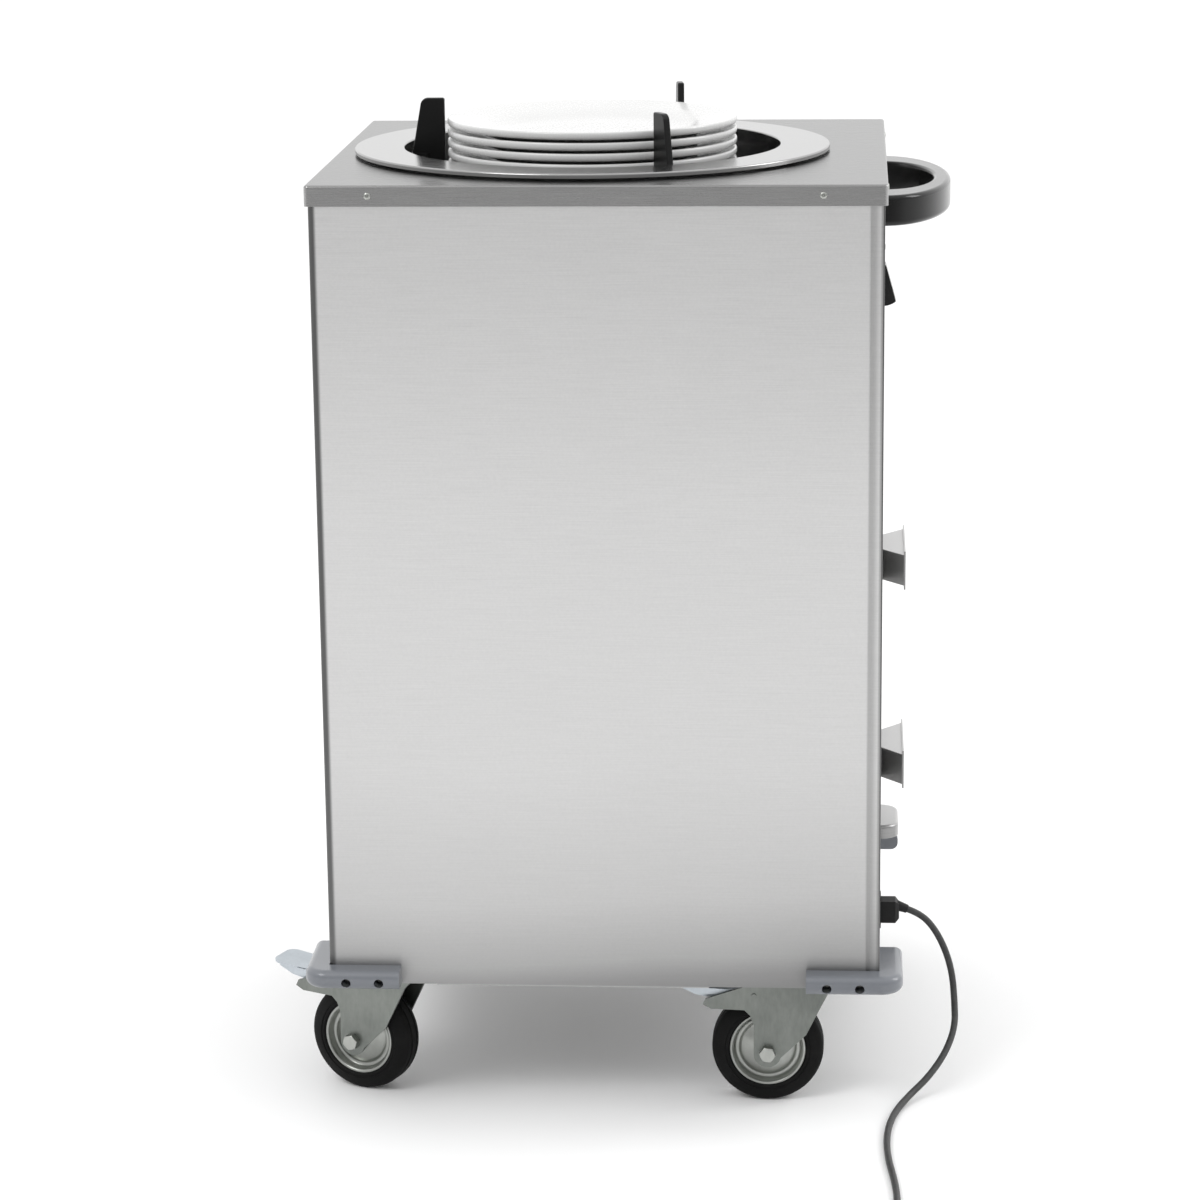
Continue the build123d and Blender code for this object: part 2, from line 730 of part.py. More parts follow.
def bow_handle():
    """The moulded bow across the right side: half an ellipse in plan, with a half-ellipse
    slot behind its grip for the hand."""
    bottom = handle_top - handle_tall
    middle = handle_top - handle_tall / 2
    whole = extrude(plane_at(bottom) * Ellipse(handle_reach, handle_half_length), handle_tall)
    whole &= block(body_x, body_x + handle_reach + 5, -handle_half_length, handle_half_length,
                   bottom, handle_top)
    slot = extrude(plane_at(bottom - 1) * Ellipse(handle_reach - handle_grip, handle_gap_half),
                   handle_tall + 2)
    slot &= block(body_x - 1, body_x + handle_reach, -handle_gap_half, handle_gap_half,
                  bottom - 1, handle_top + 1)
    handle = whole - slot
    rim = ShapeList([e for e in handle.edges()
                     if abs(abs(e.center().Z - middle) - handle_tall / 2) < 0.01
                     and e.bounding_box().max.X > body_x + 0.5])
    handle = fillet(rim, handle_edge)
    for y, z in handle_screw_spots():
        handle -= rod_between((body_x - 1, y, z), (body_x + handle_screw_depth + 1, y, z),
                              screw_radius + rivet_fit)
    return handle


def handle_screws():
    screws = []
    inside = body_x - sheet
    for y, z in handle_screw_spots():
        head = rod_between((inside - screw_head_height, y, z), (inside, y, z), screw_head_radius)
        shank = rod_between((inside, y, z), (body_x + handle_screw_depth, y, z), screw_radius)
        screws.append(head + shank)
    return screws


def switch_axis():
    return (body_x + switch_axis_out, 0.0, switch_z)


def switch_bezel():
    """The frame and the body of the rocker switch, snapped into the panel."""
    frame = block(body_x, body_x + bezel_proud, -bezel_half_width, bezel_half_width,
                  switch_z - bezel_half_height, switch_z + bezel_half_height)
    frame = fillet(frame.edges().filter_by(Axis.X), bezel_corner)
    half_y, half_z = switch_half_width + switch_wall + 0.3, switch_radius + switch_wall - 0.2
    can = block(body_x - switch_can_depth, body_x, -half_y, half_y, switch_z - half_z, switch_z + half_z)
    gap_y, gap_z = switch_half_width + loose_fit, switch_radius + loose_fit
    window = block(body_x - switch_can_depth + switch_can_floor, body_x + 5, -gap_y, gap_y,
                   switch_z - gap_z, switch_z + gap_z)
    x, _, z = switch_axis()
    pins = [rod_between((x, side * (gap_y + 0.6), z), (x, side * (gap_y - switch_pin_reach), z),
                        switch_pin_radius) for side in (-1, 1)]
    return joined([frame + can - window] + pins)


def rocker():
    """The rocker, its lower half out. Its ends are arcs about the pivot, so it clears the frame."""
    x, _, z = switch_axis()
    shape = Rot(90, 0, 0) * Cylinder(switch_radius, 2 * switch_half_width)
    shape &= block(-switch_half_thick, switch_half_thick, -50, 50, -50, 50)
    shape = fillet(ShapeList([e for e in shape.edges().filter_by(Axis.Y) if e.center().X > 0]), rocker_edge)
    shape -= Rot(90, 0, 0) * Cylinder(switch_pin_radius + running_fit, 4 * switch_half_width)
    return Pos(x, 0, z) * Rot(0, -switch_tilt, 0) * shape


def pilot_lamp():
    """Small domed lamp above the switch."""
    dome_radius = (lamp_radius ** 2 + lamp_proud ** 2) / (2 * lamp_proud)
    halfway = (dome_radius ** 2 - lamp_radius ** 2 / 4) ** 0.5 - dome_radius + lamp_proud
    arc = ThreePointArc((lamp_radius, 0), (lamp_radius / 2, halfway), (0, lamp_proud))
    sides = Polyline((0, lamp_proud), (0, 0), (lamp_radius, 0))
    dome = revolve(make_face(Plane.XZ * Wire([*arc.edges(), *sides.edges()])), Axis.Z)
    dome = Pos(body_x, 0, lamp_z) * Rot(0, 90, 0) * dome
    stem = rod_between((body_x - lamp_stem_long, 0, lamp_z), (body_x + 0.5, 0, lamp_z), lamp_stem_radius)
    return dome + stem


def cord_cleat(z):
    """Sheet-metal cleat to wind the cord on: a four-sided box that widens outwards from the
    panel, closed by a web whose edges stand above and below it as lips."""
    half_in, half_out = cleat_panel_length / 2, cleat_web_length / 2
    out = body_x + cleat_reach
    flange_face = make_face(Polyline((body_x, -half_in), (out - cleat_sheet / 2, -half_out),
                                     (out - cleat_sheet / 2, half_out), (body_x, half_in), close=True))
    pieces = []
    for side in (-1, 1):
        edge = z + side * cleat_channel / 2
        low = min(edge, edge - side * cleat_sheet)
        pieces.append(Pos(0, 0, low) * extrude(flange_face, cleat_sheet))
    pieces.append(block(out - cleat_sheet, out, -half_out, half_out, z - cleat_web_height / 2,
                        z + cleat_web_height / 2))
    foot, edge = body_x, out - cleat_sheet / 2
    across = cleat_sheet * (1 + ((half_out - half_in) / (edge - foot)) ** 2) ** 0.5
    for side in (-1, 1):
        wall = make_face(Polyline((foot, side * half_in), (edge, side * half_out),
                                  (edge, side * (half_out - across)), (foot, side * (half_in - across)),
                                  close=True))
        pieces.append(Pos(0, 0, z) * extrude(wall, cleat_channel / 2, both=True))
    return joined(pieces)


def vent_hood():
    """Pressed cowl over the air inlet, open underneath."""
    outer = block(body_x - 10, body_x + hood_reach, -hood_length / 2, hood_length / 2,
                  hood_z - hood_tall / 2, hood_z + hood_tall / 2)
    corners = ShapeList([e for e in outer.edges().filter_by(Axis.Z) if e.center().X > body_x])
    outer = fillet(corners, hood_corner)
    outer = fillet(ShapeList([e for e in outer.edges() if e.center().Z > hood_z + hood_tall / 2 - 0.01
                              and e.bounding_box().max.X > body_x]), hood_edge)
    half_length = hood_length / 2 - sheet
    inner = block(body_x - 11, body_x + hood_reach - sheet, -half_length, half_length,
                  hood_z - hood_tall / 2 - 1, hood_z + hood_tall / 2 - sheet)
    corners = ShapeList([e for e in inner.edges().filter_by(Axis.Z) if e.center().X > body_x])
    inner = fillet(corners, hood_corner - sheet)
    keep = block(body_x, body_x + hood_reach + 5, -hood_length, hood_length,
                 hood_z - hood_tall, hood_z + hood_tall)
    return (outer - inner) & keep


def cord_gland():
    """Cable gland: a flange on the panel, a chamfered clamping block, a nut inside, and a
    short tapered boot round the cord."""
    deep, wide, tall = gland_block
    flange_deep, flange_wide, flange_tall = gland_flange
    flange = block(body_x, body_x + flange_deep, gland_y - flange_wide / 2, gland_y + flange_wide / 2,
                   gland_z - flange_tall / 2, gland_z + flange_tall / 2)
    flange = fillet(flange.edges().filter_by(Axis.X), gland_corner)
    start = body_x + flange_deep
    body = block(start - 0.5, start + deep, gland_y - wide / 2, gland_y + wide / 2,
                 gland_z - tall / 2, gland_z + tall / 2)
    body = chamfer(body.faces().sort_by(Axis.X)[-1].edges(), gland_chamfer)
    stem = rod_between((body_x - gland_stem_long, gland_y, gland_z), (body_x + 0.5, gland_y, gland_z),
                       gland_stem_radius)
    nut = extrude(Plane(origin=(body_x - sheet - gland_nut_thick, gland_y, gland_z), z_dir=(1, 0, 0))
                  * RegularPolygon(gland_nut_radius, 6), gland_nut_thick)
    wide_end, narrow_end = gland_boot_radii
    boot = loft([boot_plane(-gland_boot_start) * Circle(wide_end),
                 boot_plane(gland_boot) * Circle(narrow_end)])
    return joined([flange, body, stem, nut, boot])


def boot_plane(along):
    """The plane square to the boot, at this distance from where it leaves the gland."""
    droop = radians(gland_droop)
    start = body_x + gland_flange[0] + gland_block[0]
    x, z = start + along * cos(droop), gland_z + gland_exit_rise - along * sin(droop)
    return Plane(origin=(x, gland_y, z), z_dir=(cos(droop), 0, -sin(droop)))


# ============================ bumpers ========================================


def bumper_centres():
    return {"front_left": (-1, -1), "front_right": (1, -1), "rear_left": (-1, 1), "rear_right": (1, 1)}


def is_outer_edge(box, long_x, long_y):
    """Whether an edge's box reaches the bumper's outer faces."""
    return box.max.X > long_x - 0.1 or box.max.Y > long_y - 0.1


def is_outer_line(box):
    """Whether an edge's box stays outside the cabinet's own outline."""
    return box.min.X > body_x - 1 or box.min.Y > body_y - 1


def corner_bumper(sx, sy):
    """A moulded corner buffer: two arms round the corner, rounded outside, with a deep
    screw pocket twice in each arm."""
    z0, z1 = cabinet_bottom, cabinet_bottom + bumper_tall
    long_x, long_y = body_x + bumper_thick, body_y + bumper_thick
    solid = block(long_x - bumper_arm, long_x, long_y - bumper_arm, long_y, z0, z1)
    corner = ShapeList([e for e in solid.edges().filter_by(Axis.Z)
                        if e.center().X > long_x - 1 and e.center().Y > long_y - 1])
    solid = fillet(corner, bumper_corner)
    middle = (z0 + z1) / 2
    rims = ShapeList([e for e in solid.edges() if abs(abs(e.center().Z - middle) - bumper_tall / 2) < 0.01])
    outer_rim = ShapeList([e for e in rims if is_outer_edge(e.bounding_box(), long_x, long_y)
                           and (is_outer_line(e.bounding_box()) or e.geom_type != GeomType.LINE)])
    solid = fillet(outer_rim, bumper_round)
    solid -= block(0, body_x, 0, body_y, z0 - 1, z1 + 1)
    for spot in bumper_screw_spots:
        for x, y, along in bumper_screw_lines(spot):
            start = (x, body_y + bumper_pocket_floor, z_screw()) if along == "y" else \
                    (body_x + bumper_pocket_floor, y, z_screw())
            end = (x, long_y + 5, z_screw()) if along == "y" else (long_x + 5, y, z_screw())
            back = (x, body_y - 1, z_screw()) if along == "y" else (body_x - 1, y, z_screw())
            solid -= rod_between(start, end, bumper_pocket_radius)
            solid -= rod_between(back, end, screw_radius + rivet_fit)
    if sx < 0 and sy < 0:
        return Rot(0, 0, 180) * solid
    if sx < 0:
        return mirror(solid, Plane.YZ)
    if sy < 0:
        return mirror(solid, Plane.XZ)
    return solid


def z_screw():
    return cabinet_bottom + bumper_tall * bumper_screw_share


def bumper_screw_lines(spot):
    """Where a screw at this distance from the arm's end goes in, for both arms, +X +Y corner."""
    x = body_x + bumper_thick - bumper_arm + spot
    y = body_y + bumper_thick - bumper_arm + spot
    return [(x, body_y, "y"), (body_x, y, "x")]


def bumper_screw_holes():
    holes = []
    for sx in (-1, 1):
        for sy in (-1, 1):
            for spot in bumper_screw_spots:
                for x, y, along in bumper_screw_lines(spot):
                    step_x, step_y = (0, 1) if along == "y" else (1, 0)
                    inside = (sx * (x - 15 * step_x), sy * (y - 15 * step_y), z_screw())
                    outside = (sx * (x + 2 * step_x), sy * (y + 2 * step_y), z_screw())
                    holes.append(rod_between(outside, inside, screw_radius + rivet_fit))
    return joined(holes)


def bumper_screws():
    screws = []
    for sx in (-1, 1):
        for sy in (-1, 1):
            for spot in bumper_screw_spots:
                for x, y, along in bumper_screw_lines(spot):
                    step_x, step_y = (0, 1) if along == "y" else (1, 0)
                    seat, top, tip = ((sx * (x + depth * step_x), sy * (y + depth * step_y), z_screw())
                                      for depth in (bumper_pocket_floor,
                                                    bumper_pocket_floor + screw_head_height, -screw_bite))
                    head = rod_between(seat, top, screw_head_radius)
                    shank = rod_between(tip, seat, screw_radius)
                    screws.append(head + shank)
    return screws


# ============================ casters ========================================


def caster_centre(name):
    sy = -1 if name.startswith("front") else 1
    sx = -1 if name.endswith("left") else 1
    return sx * swivel_x, sy * swivel_y


def caster_bolt_spots():
    spots = []
    for name in trail_angles:
        x, y = caster_centre(name)
        for dx in (-1, 1):
            for dy in (-1, 1):
                spots.append((x, y, dx * caster_hole_pitch[0] / 2, dy * caster_hole_pitch[1] / 2))
    return spots


def caster_plates():
    plates_made = []
    long, wide, thick = caster_plate
    for name in trail_angles:
        x, y = caster_centre(name)
        plate_made = Pos(x, y, pan_height - thick / 2) * Box(long, wide, thick)
        plate_made = fillet(plate_made.edges().filter_by(Axis.Z), caster_plate_corner)
        plate_made -= rod(x, y, pan_height - 10, pan_height + 1, king_pin_radius + running_fit)
        for sx, sy, dx, dy in caster_bolt_spots():
            if (sx, sy) == (x, y):
                plate_made -= rod(sx + dx, sy + dy, pan_height - 10, pan_height + 5,
                                  caster_bolt_radius + rivet_fit)
        plates_made.append(plate_made)
    return plates_made


def caster_bolts():
    """Bolts from above with their nuts below the caster plates."""
    bolts = []
    for sx, sy, dx, dy in caster_bolt_spots():
        x, y = sx + dx, sy + dy
        top = pan_height + pan_sheet
        low = pan_height - caster_plate[2]
        hexagon = RegularPolygon(bolt_head_across / 2 / cos(pi / 6), 6)
        head = Pos(x, y, top) * extrude(hexagon, caster_bolt_head)
        nut = Pos(x, y, low - caster_nut) * extrude(hexagon, caster_nut)
        shank = rod(x, y, low - caster_bolt_end, top + 0.5, caster_bolt_radius)
        bolts.append(joined([head, nut, shank]))
    return bolts


def in_caster_frame(name, shape):
    """Places a piece drawn with the swivel at the origin and the wheel trailing towards +X."""
    x, y = caster_centre(name)
    return Pos(x, y, 0) * Rot(0, 0, trail_angles[name]) * shape


def cheek_profile(with_brake):
    """The side of the fork, seen along the axle: crown, sloping front edge, leg round the
    axle and, on a braked caster, the wing that carries the pedal."""
    crown = fork_crown + fork_crown_sheet
    leg, front, back = fork_leg, -fork_front, fork_back
    points = [(front, crown), (front + 9, 109), (front + 18, 91), (5, 68.5), (trail - leg * 0.95, 46)]
    edge = Polyline(*points)
    bottom = ThreePointArc(points[-1], (trail + 1.5, axle_height - leg - 1.2), (trail + leg, axle_height))
    if with_brake:
        rest = [(trail + leg, axle_height), (trail + leg, 77), (trail + leg + 3, 86), (61, 91.5), (91, 92.5),
                (98.5, 96.5), (96, 102), (60, 114), (back, crown), (front, crown)]
    else:
        rest = [(trail + leg, axle_height), (trail + leg + 1, 88), (trail + leg + 5, 104),
                (back, crown), (front, crown)]
    return make_face(Plane.XZ * Wire([*edge.edges(), *bottom.edges(), *Polyline(*rest).edges()]))


def caster_fork(name):
    """Pressed-steel fork: two cheeks, crown, raceway and king pin, with short pins for the
    pedal on a braked one."""
    with_brake = name in braked
    inner = hub_half + cheek_gap
    profile = cheek_profile(with_brake)
    cheeks = []
    for side in (-1, 1):
        y = side * (inner + cheek_sheet / 2)
        cheeks.append(Pos(0, y, 0) * extrude(profile, cheek_sheet / 2, both=True))
    crown = block(-fork_front, fork_back, -inner - cheek_sheet, inner + cheek_sheet,
                  fork_crown, fork_crown + fork_crown_sheet)
    race = rod(0, 0, fork_crown + 1, pan_height - caster_plate[2] - loose_fit, raceway_radius)
    pin = rod(0, 0, fork_crown, pan_height - 0.4, king_pin_radius)
    fork = joined(cheeks + [crown, race, pin])
    fork -= rod_between((trail, -inner - 10, axle_height), (trail, inner + 10, axle_height),
                        axle_radius + rivet_fit)
    if with_brake:
        for side in (-1, 1):
            fork += rod_between((brake_pivot[0], side * (inner - 3.6), brake_pivot[1]),
                                (brake_pivot[0], side * (inner + cheek_sheet + 1.2), brake_pivot[1]),
                                brake_pin_radius)
    return in_caster_frame(name, fork)


def caster_axle(name):
    """Hexagon bolt through fork and wheel, with its nut."""
    outside = hub_half + cheek_gap + cheek_sheet
    across = bolt_head_across / 2 / cos(pi / 6)
    shank = rod_between((trail, -outside - 1, axle_height), (trail, outside + 8, axle_height), axle_radius)
    pieces = [shank]
    for side in (-1, 1):
        plane = Plane(origin=(trail, side * outside, axle_height), z_dir=(0, side, 0))
        pieces.append(extrude(plane * RegularPolygon(across, 6), bolt_head_height))
    return in_caster_frame(name, joined(pieces))


def wheel_frame(shape):
    """Lays a part turned about Z on its side, on the axle."""
    return Pos(trail, 0, axle_height) * Rot(90, 0, 0) * shape


def caster_rim(name):
    """Zinc-plated wheel centre: rim with a rolled ring each side, dished discs and the hub."""
    half = tyre_width / 2
    bore = axle_radius + running_fit
    disc, cone = rim_radius - rim_disc_inset, hub_radius + rim_cone
    upper = [(rim_radius, half - 1), (rim_radius - 2.6, half - 1), (rim_radius - rim_ring, half - 3),
             (disc, 7.5), (disc - rim_step, 8.5), (cone, 12.5), (hub_radius, 14), (hub_radius, hub_half),
             (bore, hub_half)]
    lower = [(radius, -height) for radius, height in reversed(upper)]
    return in_caster_frame(name, wheel_frame(revolve(outline(lower + upper), Axis.Z)))


def caster_tyre(name):
    """Solid rubber tyre on the rim."""
    half = tyre_width / 2
    inner = rim_radius + rivet_fit
    section = outline([(inner, -half), (wheel_radius, -half), (wheel_radius, half), (inner, half)])
    tyre = revolve(section, Axis.Z)
    shoulders = ShapeList([e for e in tyre.edges().filter_by(GeomType.CIRCLE)
                           if e.radius > wheel_radius - 1])
    tyre = fillet(shoulders, tyre_round)
    return in_caster_frame(name, wheel_frame(tyre))


def brake_pedal(name):
    """Foot pedal: two arms on the fork's pins and a broad tread that rises to its tip, with its
    sides folded down."""
    inner = hub_half + cheek_gap
    arm_out = inner - pedal_arm_gap
    arm_in = arm_out - pedal_arm_sheet
    px, pz = brake_pivot
    arm_face = outline([(px - 6, pz - 4.5), (px + 4, pz - 4.5), (76, pz - 1.5), (102, pz + 1.5),
                        (102, pz + 6.5), (76, pz + 5.0), (px + 2, pz + 7.5), (px - 6, pz + 5)])
    pieces = []
    for side in (-1, 1):
        y = side * (arm_out + arm_in) / 2
        pieces.append(Pos(0, y, 0) * extrude(arm_face, (arm_out - arm_in) / 2, both=True))
    tread = outline([(66, pz + 4.8), (76, pz + 5.0), (102, pz + 6.8), (pedal_tip, pz + 10.0),
                     (pedal_tip, pz + 8.0), (102, pz + 4.8), (76, pz + 3.0), (66, pz + 2.8)])
    tread = extrude(tread, pedal_width / 2, both=True)
    tread = fillet(ShapeList([e for e in tread.edges() if e.center().X > pedal_tip - 0.2
                              and abs(abs(e.center().Y) - pedal_width / 2) < 0.1]), pedal_corner)
    skirt = outline([(86, pz - 2.0), (94, pz - 3.5), (106, pz - 1.0), (pedal_tip - 9, pz + 5.5),
                     (pedal_tip - 9, pz + 7.6), (102, pz + 5.4), (86, pz + 4.2)])
    for side in (-1, 1):
        y = side * (pedal_width - pedal_arm_sheet) / 2
        pieces.append(Pos(0, y, 0) * extrude(skirt, pedal_arm_sheet / 2, both=True))
    bridge = outline([(64, pz + 2.8), (79, pz + 3.1), (79, pz + 5.1), (64, pz + 4.8)])
    pieces += [tread, extrude(bridge, arm_out, both=True)]
    pedal = joined(pieces)
    pedal -= rod_between((px, -inner - 5, pz), (px, inner + 5, pz), brake_pin_radius + running_fit)
    return in_caster_frame(name, pedal)


# ============================ mains cord =====================================

# The route from the boot to the coil, point by point: out of the gland, down to the floor
# beside the front right caster, and away in front of the cabinet.
cord_route = [
    tuple(boot_plane(gland_boot).origin),
    tuple(boot_plane(gland_boot + 13.0).origin),
    (299.0, -101.0, 133.0),
    (309.5, -104.5, 113.5),
    (316.0, -111.0, 92.0),
    (318.0, -121.0, 69.0),
    (318.5, -137.0, 50.0),
    (310.0, -158.0, 33.0),
    (294.0, -182.0, 17.5),
    (275.0, -203.0, 6.5),
    (263.0, -231.0, floor_rest),
    (256.5, -266.0, floor_rest),
    (254.0, -305.0, floor_rest),
    (255.5, -347.0, floor_rest),
    (260.0, -389.0, floor_rest),
    (262.5, -431.0, floor_rest),
    (261.0, -471.0, floor_rest),
    (262.0, -511.0, floor_rest),
]


def turn_between(before, corner, after):
    """The angle in radians by which a route changes direction at a corner."""
    come = Vector(*corner) - Vector(*before)
    leave = Vector(*after) - Vector(*corner)
    return acos(max(-1.0, min(1.0, come.dot(leave) / come.length / leave.length)))


def cord_tube(points, diameter):
    """A round cord along straight runs joined by the largest tangent arcs they allow."""
    runs = [(Vector(*b) - Vector(*a)).length for a, b in zip(points, points[1:])]
    radii = []
    for i in range(1, len(points) - 1):
        turn = turn_between(*points[i - 1:i + 2])
        radii.append(0.45 * min(runs[i - 1], runs[i]) / tan(turn / 2))
    print("cord runs (mm):", [round(run) for run in runs])
    print("cord arc radii (mm):", [round(radius) for radius in radii])
    path = FilletPolyline(*points, radius=radii)
    tube = sweep(Plane(origin=path @ 0, z_dir=path % 0) * Circle(diameter / 2), path=path)
    print(f"cord stretch {path.length:.0f} mm, volume against section x length:",
          round(tube.volume / (pi * diameter ** 2 / 4 * path.length), 4))
    return tube, path


def quarter_arc(start, heading, across):
    """A quarter circle from start, setting off along heading and ending along across."""
    centre = start + across
    middle = centre - across * cos(pi / 4) + heading * (across.length * sin(pi / 4))
    return ThreePointArc(start, middle, centre + heading * across.length)


def coil_path():
    """Half turns that spiral in on the floor, climb a layer while they turn round, and
    spiral out again on top, then a straight tail to the plug."""
    step = (cord_diameter + coil_turn_gap) / 2
    rise = cord_diameter + coil_layer_gap
    turns = coil_half_turns_in + 1 + coil_half_turns_out
    here = Vector(coil_centre[0] + coil_outer_turn, coil_centre[1], floor_rest)
    heading = Vector(0, -1, 0)
    edges = [Line(here - heading * cord_diameter, here)]
    for turn in range(turns):
        inward = min(turn, 2 * coil_half_turns_in - turn)
        radius = coil_outer_turn - step * inward
        side = -1 if turn % 2 == 0 else 1
        climb = rise if turn == coil_half_turns_in else 0.0
        there = here + Vector(side * 2 * radius, 0, climb)
        across = (there - here) * 0.5
        first = quarter_arc(here, heading, across)
        second = quarter_arc(there, heading, across * -1)
        edges += [first, ThreePointArc(second @ 1, second @ 0.5, second @ 0)]
        here = there
        heading = heading * -1
    edges.append(Line(here, here + heading * coil_tail))
    return Wire([edge for piece in edges for edge in piece.edges()])


def least_gap(path, diameter, steps=900):
    """The smallest distance between two stretches of the cord's surface that aren't
    neighbours along it."""
    points = [path @ (i / steps) for i in range(steps + 1)]
    spacing = path.length / steps
    skip = ceil(3 * diameter / spacing)
    return min((points[i] - points[j]).length
               for i in range(len(points)) for j in range(i + skip, len(points))) - diameter


def cord_coil():
    path = coil_path()
    start = path @ 0
    tube = sweep(Plane(origin=start, z_dir=path % 0) * Circle(cord_diameter / 2), path=path)
    print(f"coil {path.length:.0f} mm, least gap {least_gap(path, cord_diameter):.2f} mm,",
          "volume against section x length:",
          round(tube.volume / (pi * cord_diameter ** 2 / 4 * path.length), 4))
    return tube, path


def power_plug(entry):
    """A moulded three-pin plug lying on the floor, its pins away from the cabinet."""
    x, y, z = entry.X, entry.Y, entry.Z
    facing = (0, -1, 0)

    def section(along):
        return Plane(origin=(x, y - along, z), x_dir=(1, 0, 0), z_dir=facing)

    relief = loft([section(0) * Circle(cord_diameter / 2 + 1.0), section(plug_relief) * Circle(7.0)])
    body = loft([section(plug_relief - 3) * RectangleRounded(18.0, 16.0, 6.0),
                 section(plug_relief + plug_body * 0.45) * RectangleRounded(plug_width, 2 * z, 7.0)])
    body += extrude(section(plug_relief + plug_body * 0.45) * RectangleRounded(plug_width, 2 * z, 7.0),
                    plug_body * 0.55)
    face = plug_relief + plug_body
    blade_tall, blade_wide, blade_long = plug_blade
    earth_radius, earth_offset, earth_long = plug_earth_pin
    side = earth_offset / 3
    pieces = [relief, body]
    for up in (-1, 1):
        pin = Pos(x - side, y - face - blade_long / 2 + 0.5, z + up * plug_pin_spacing / 2)
        pieces.append(pin * Box(blade_tall, blade_long + 1, blade_wide))
    earth_x = x - side + earth_offset
    earth_start, earth_end = (earth_x, y - face + 0.5, z), (earth_x, y - face - earth_long, z)
    pieces.append(rod_between(earth_start, earth_end, earth_radius))
    return joined(pieces)


# ============================ the parts ======================================

save(cabinet_wrap(), "cabinet_wrap")
save(service_panel(), "service_panel")
save(top_deck(), "top_deck")
save(base_pan(), "base_pan")
save(group(corner_posts()), "corner_posts")
save(group(rivets()), "blind_rivets")
save(plate_tube(), "plate_tube")
save(tube_flange(), "tube_flange")
for guide in guide_angles:
    save(guide_rod(guide), f"guide_rod_{guide}")
    save(guide_finger(guide), f"guide_finger_{guide}")
stack = plates()
save(group(stack[:-1]), "plate_stack")
save(stack[-1], "plate_top")
save(lift_platform(), "lift_platform")
save(group(lift_shoes()), "lift_shoes")
save(group(lift_springs()), "lift_springs")
save(heating_element(), "heating_element")
save(group(element_clips()), "element_clips")
save(terminal_box(), "terminal_box")
save(thermostat(), "thermostat")
save(bow_handle(), "bow_handle")
save(group(handle_screws()), "handle_screws")
save(switch_bezel(), "switch_bezel")
save(rocker(), "rocker")
save(pilot_lamp(), "pilot_lamp")
for place, height in cleat_heights.items():
    save(cord_cleat(height), f"cord_cleat_{place}")
save(vent_hood(), "vent_hood")
save(cord_gland(), "cord_gland")
for place, (side_x, side_y) in bumper_centres().items():
    save(corner_bumper(side_x, side_y), f"corner_bumper_{place}")
save(group(bumper_screws()), "bumper_screws")
save(group(caster_plates()), "caster_plates")
save(group(caster_bolts()), "caster_bolts")
for caster in trail_angles:
    save(caster_fork(caster), f"fork_{caster}")
    save(caster_axle(caster), f"axle_{caster}")
    save(caster_rim(caster), f"rim_{caster}")
    save(caster_tyre(caster), f"tyre_{caster}")
for caster in braked:
    save(brake_pedal(caster), f"brake_pedal_{caster}")
coil, coil_line = cord_coil()
save(coil, "cord_coil")
stretch, stretch_line = cord_tube(cord_route + [tuple(coil_line @ 0)], cord_diameter)
save(stretch, "power_cord")
save(power_plug(coil_line @ 1), "power_plug")
print(f"cord length {(stretch_line.length + coil_line.length) / 1000:.3f} m")
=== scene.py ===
import json
import math

import bmesh
import bpy
from mathutils import Matrix, Vector


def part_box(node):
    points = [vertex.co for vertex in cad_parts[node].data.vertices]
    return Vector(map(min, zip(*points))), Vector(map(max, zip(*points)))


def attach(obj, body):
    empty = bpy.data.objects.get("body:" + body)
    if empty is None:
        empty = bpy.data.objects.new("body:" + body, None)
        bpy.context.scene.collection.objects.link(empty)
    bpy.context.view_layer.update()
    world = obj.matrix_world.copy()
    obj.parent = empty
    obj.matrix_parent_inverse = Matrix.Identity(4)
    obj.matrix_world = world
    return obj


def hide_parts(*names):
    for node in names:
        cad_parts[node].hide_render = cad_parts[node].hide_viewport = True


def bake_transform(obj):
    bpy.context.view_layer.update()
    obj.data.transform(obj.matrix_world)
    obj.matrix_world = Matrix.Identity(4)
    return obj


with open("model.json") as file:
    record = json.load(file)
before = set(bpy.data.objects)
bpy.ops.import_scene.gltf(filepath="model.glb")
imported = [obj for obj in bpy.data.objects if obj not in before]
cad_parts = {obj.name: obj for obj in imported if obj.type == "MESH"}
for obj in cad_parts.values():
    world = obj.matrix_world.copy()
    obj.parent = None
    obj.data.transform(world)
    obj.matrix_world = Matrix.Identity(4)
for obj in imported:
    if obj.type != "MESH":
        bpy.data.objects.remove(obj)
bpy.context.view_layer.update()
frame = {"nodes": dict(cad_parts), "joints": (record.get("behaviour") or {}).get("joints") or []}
nodes = frame["nodes"]
joints = {joint["name"]: joint for joint in frame["joints"]}
print("frame loaded:", len(nodes), "nodes")


photoCamera = {
    "place": (0.2171, -3.3993, 1.2657),
    "turnLeft": 3.911,
    "lookDown": 13.947,
    "roll": -0.633,
    "lens": 111.9,
    "sensor": 36.0,
}


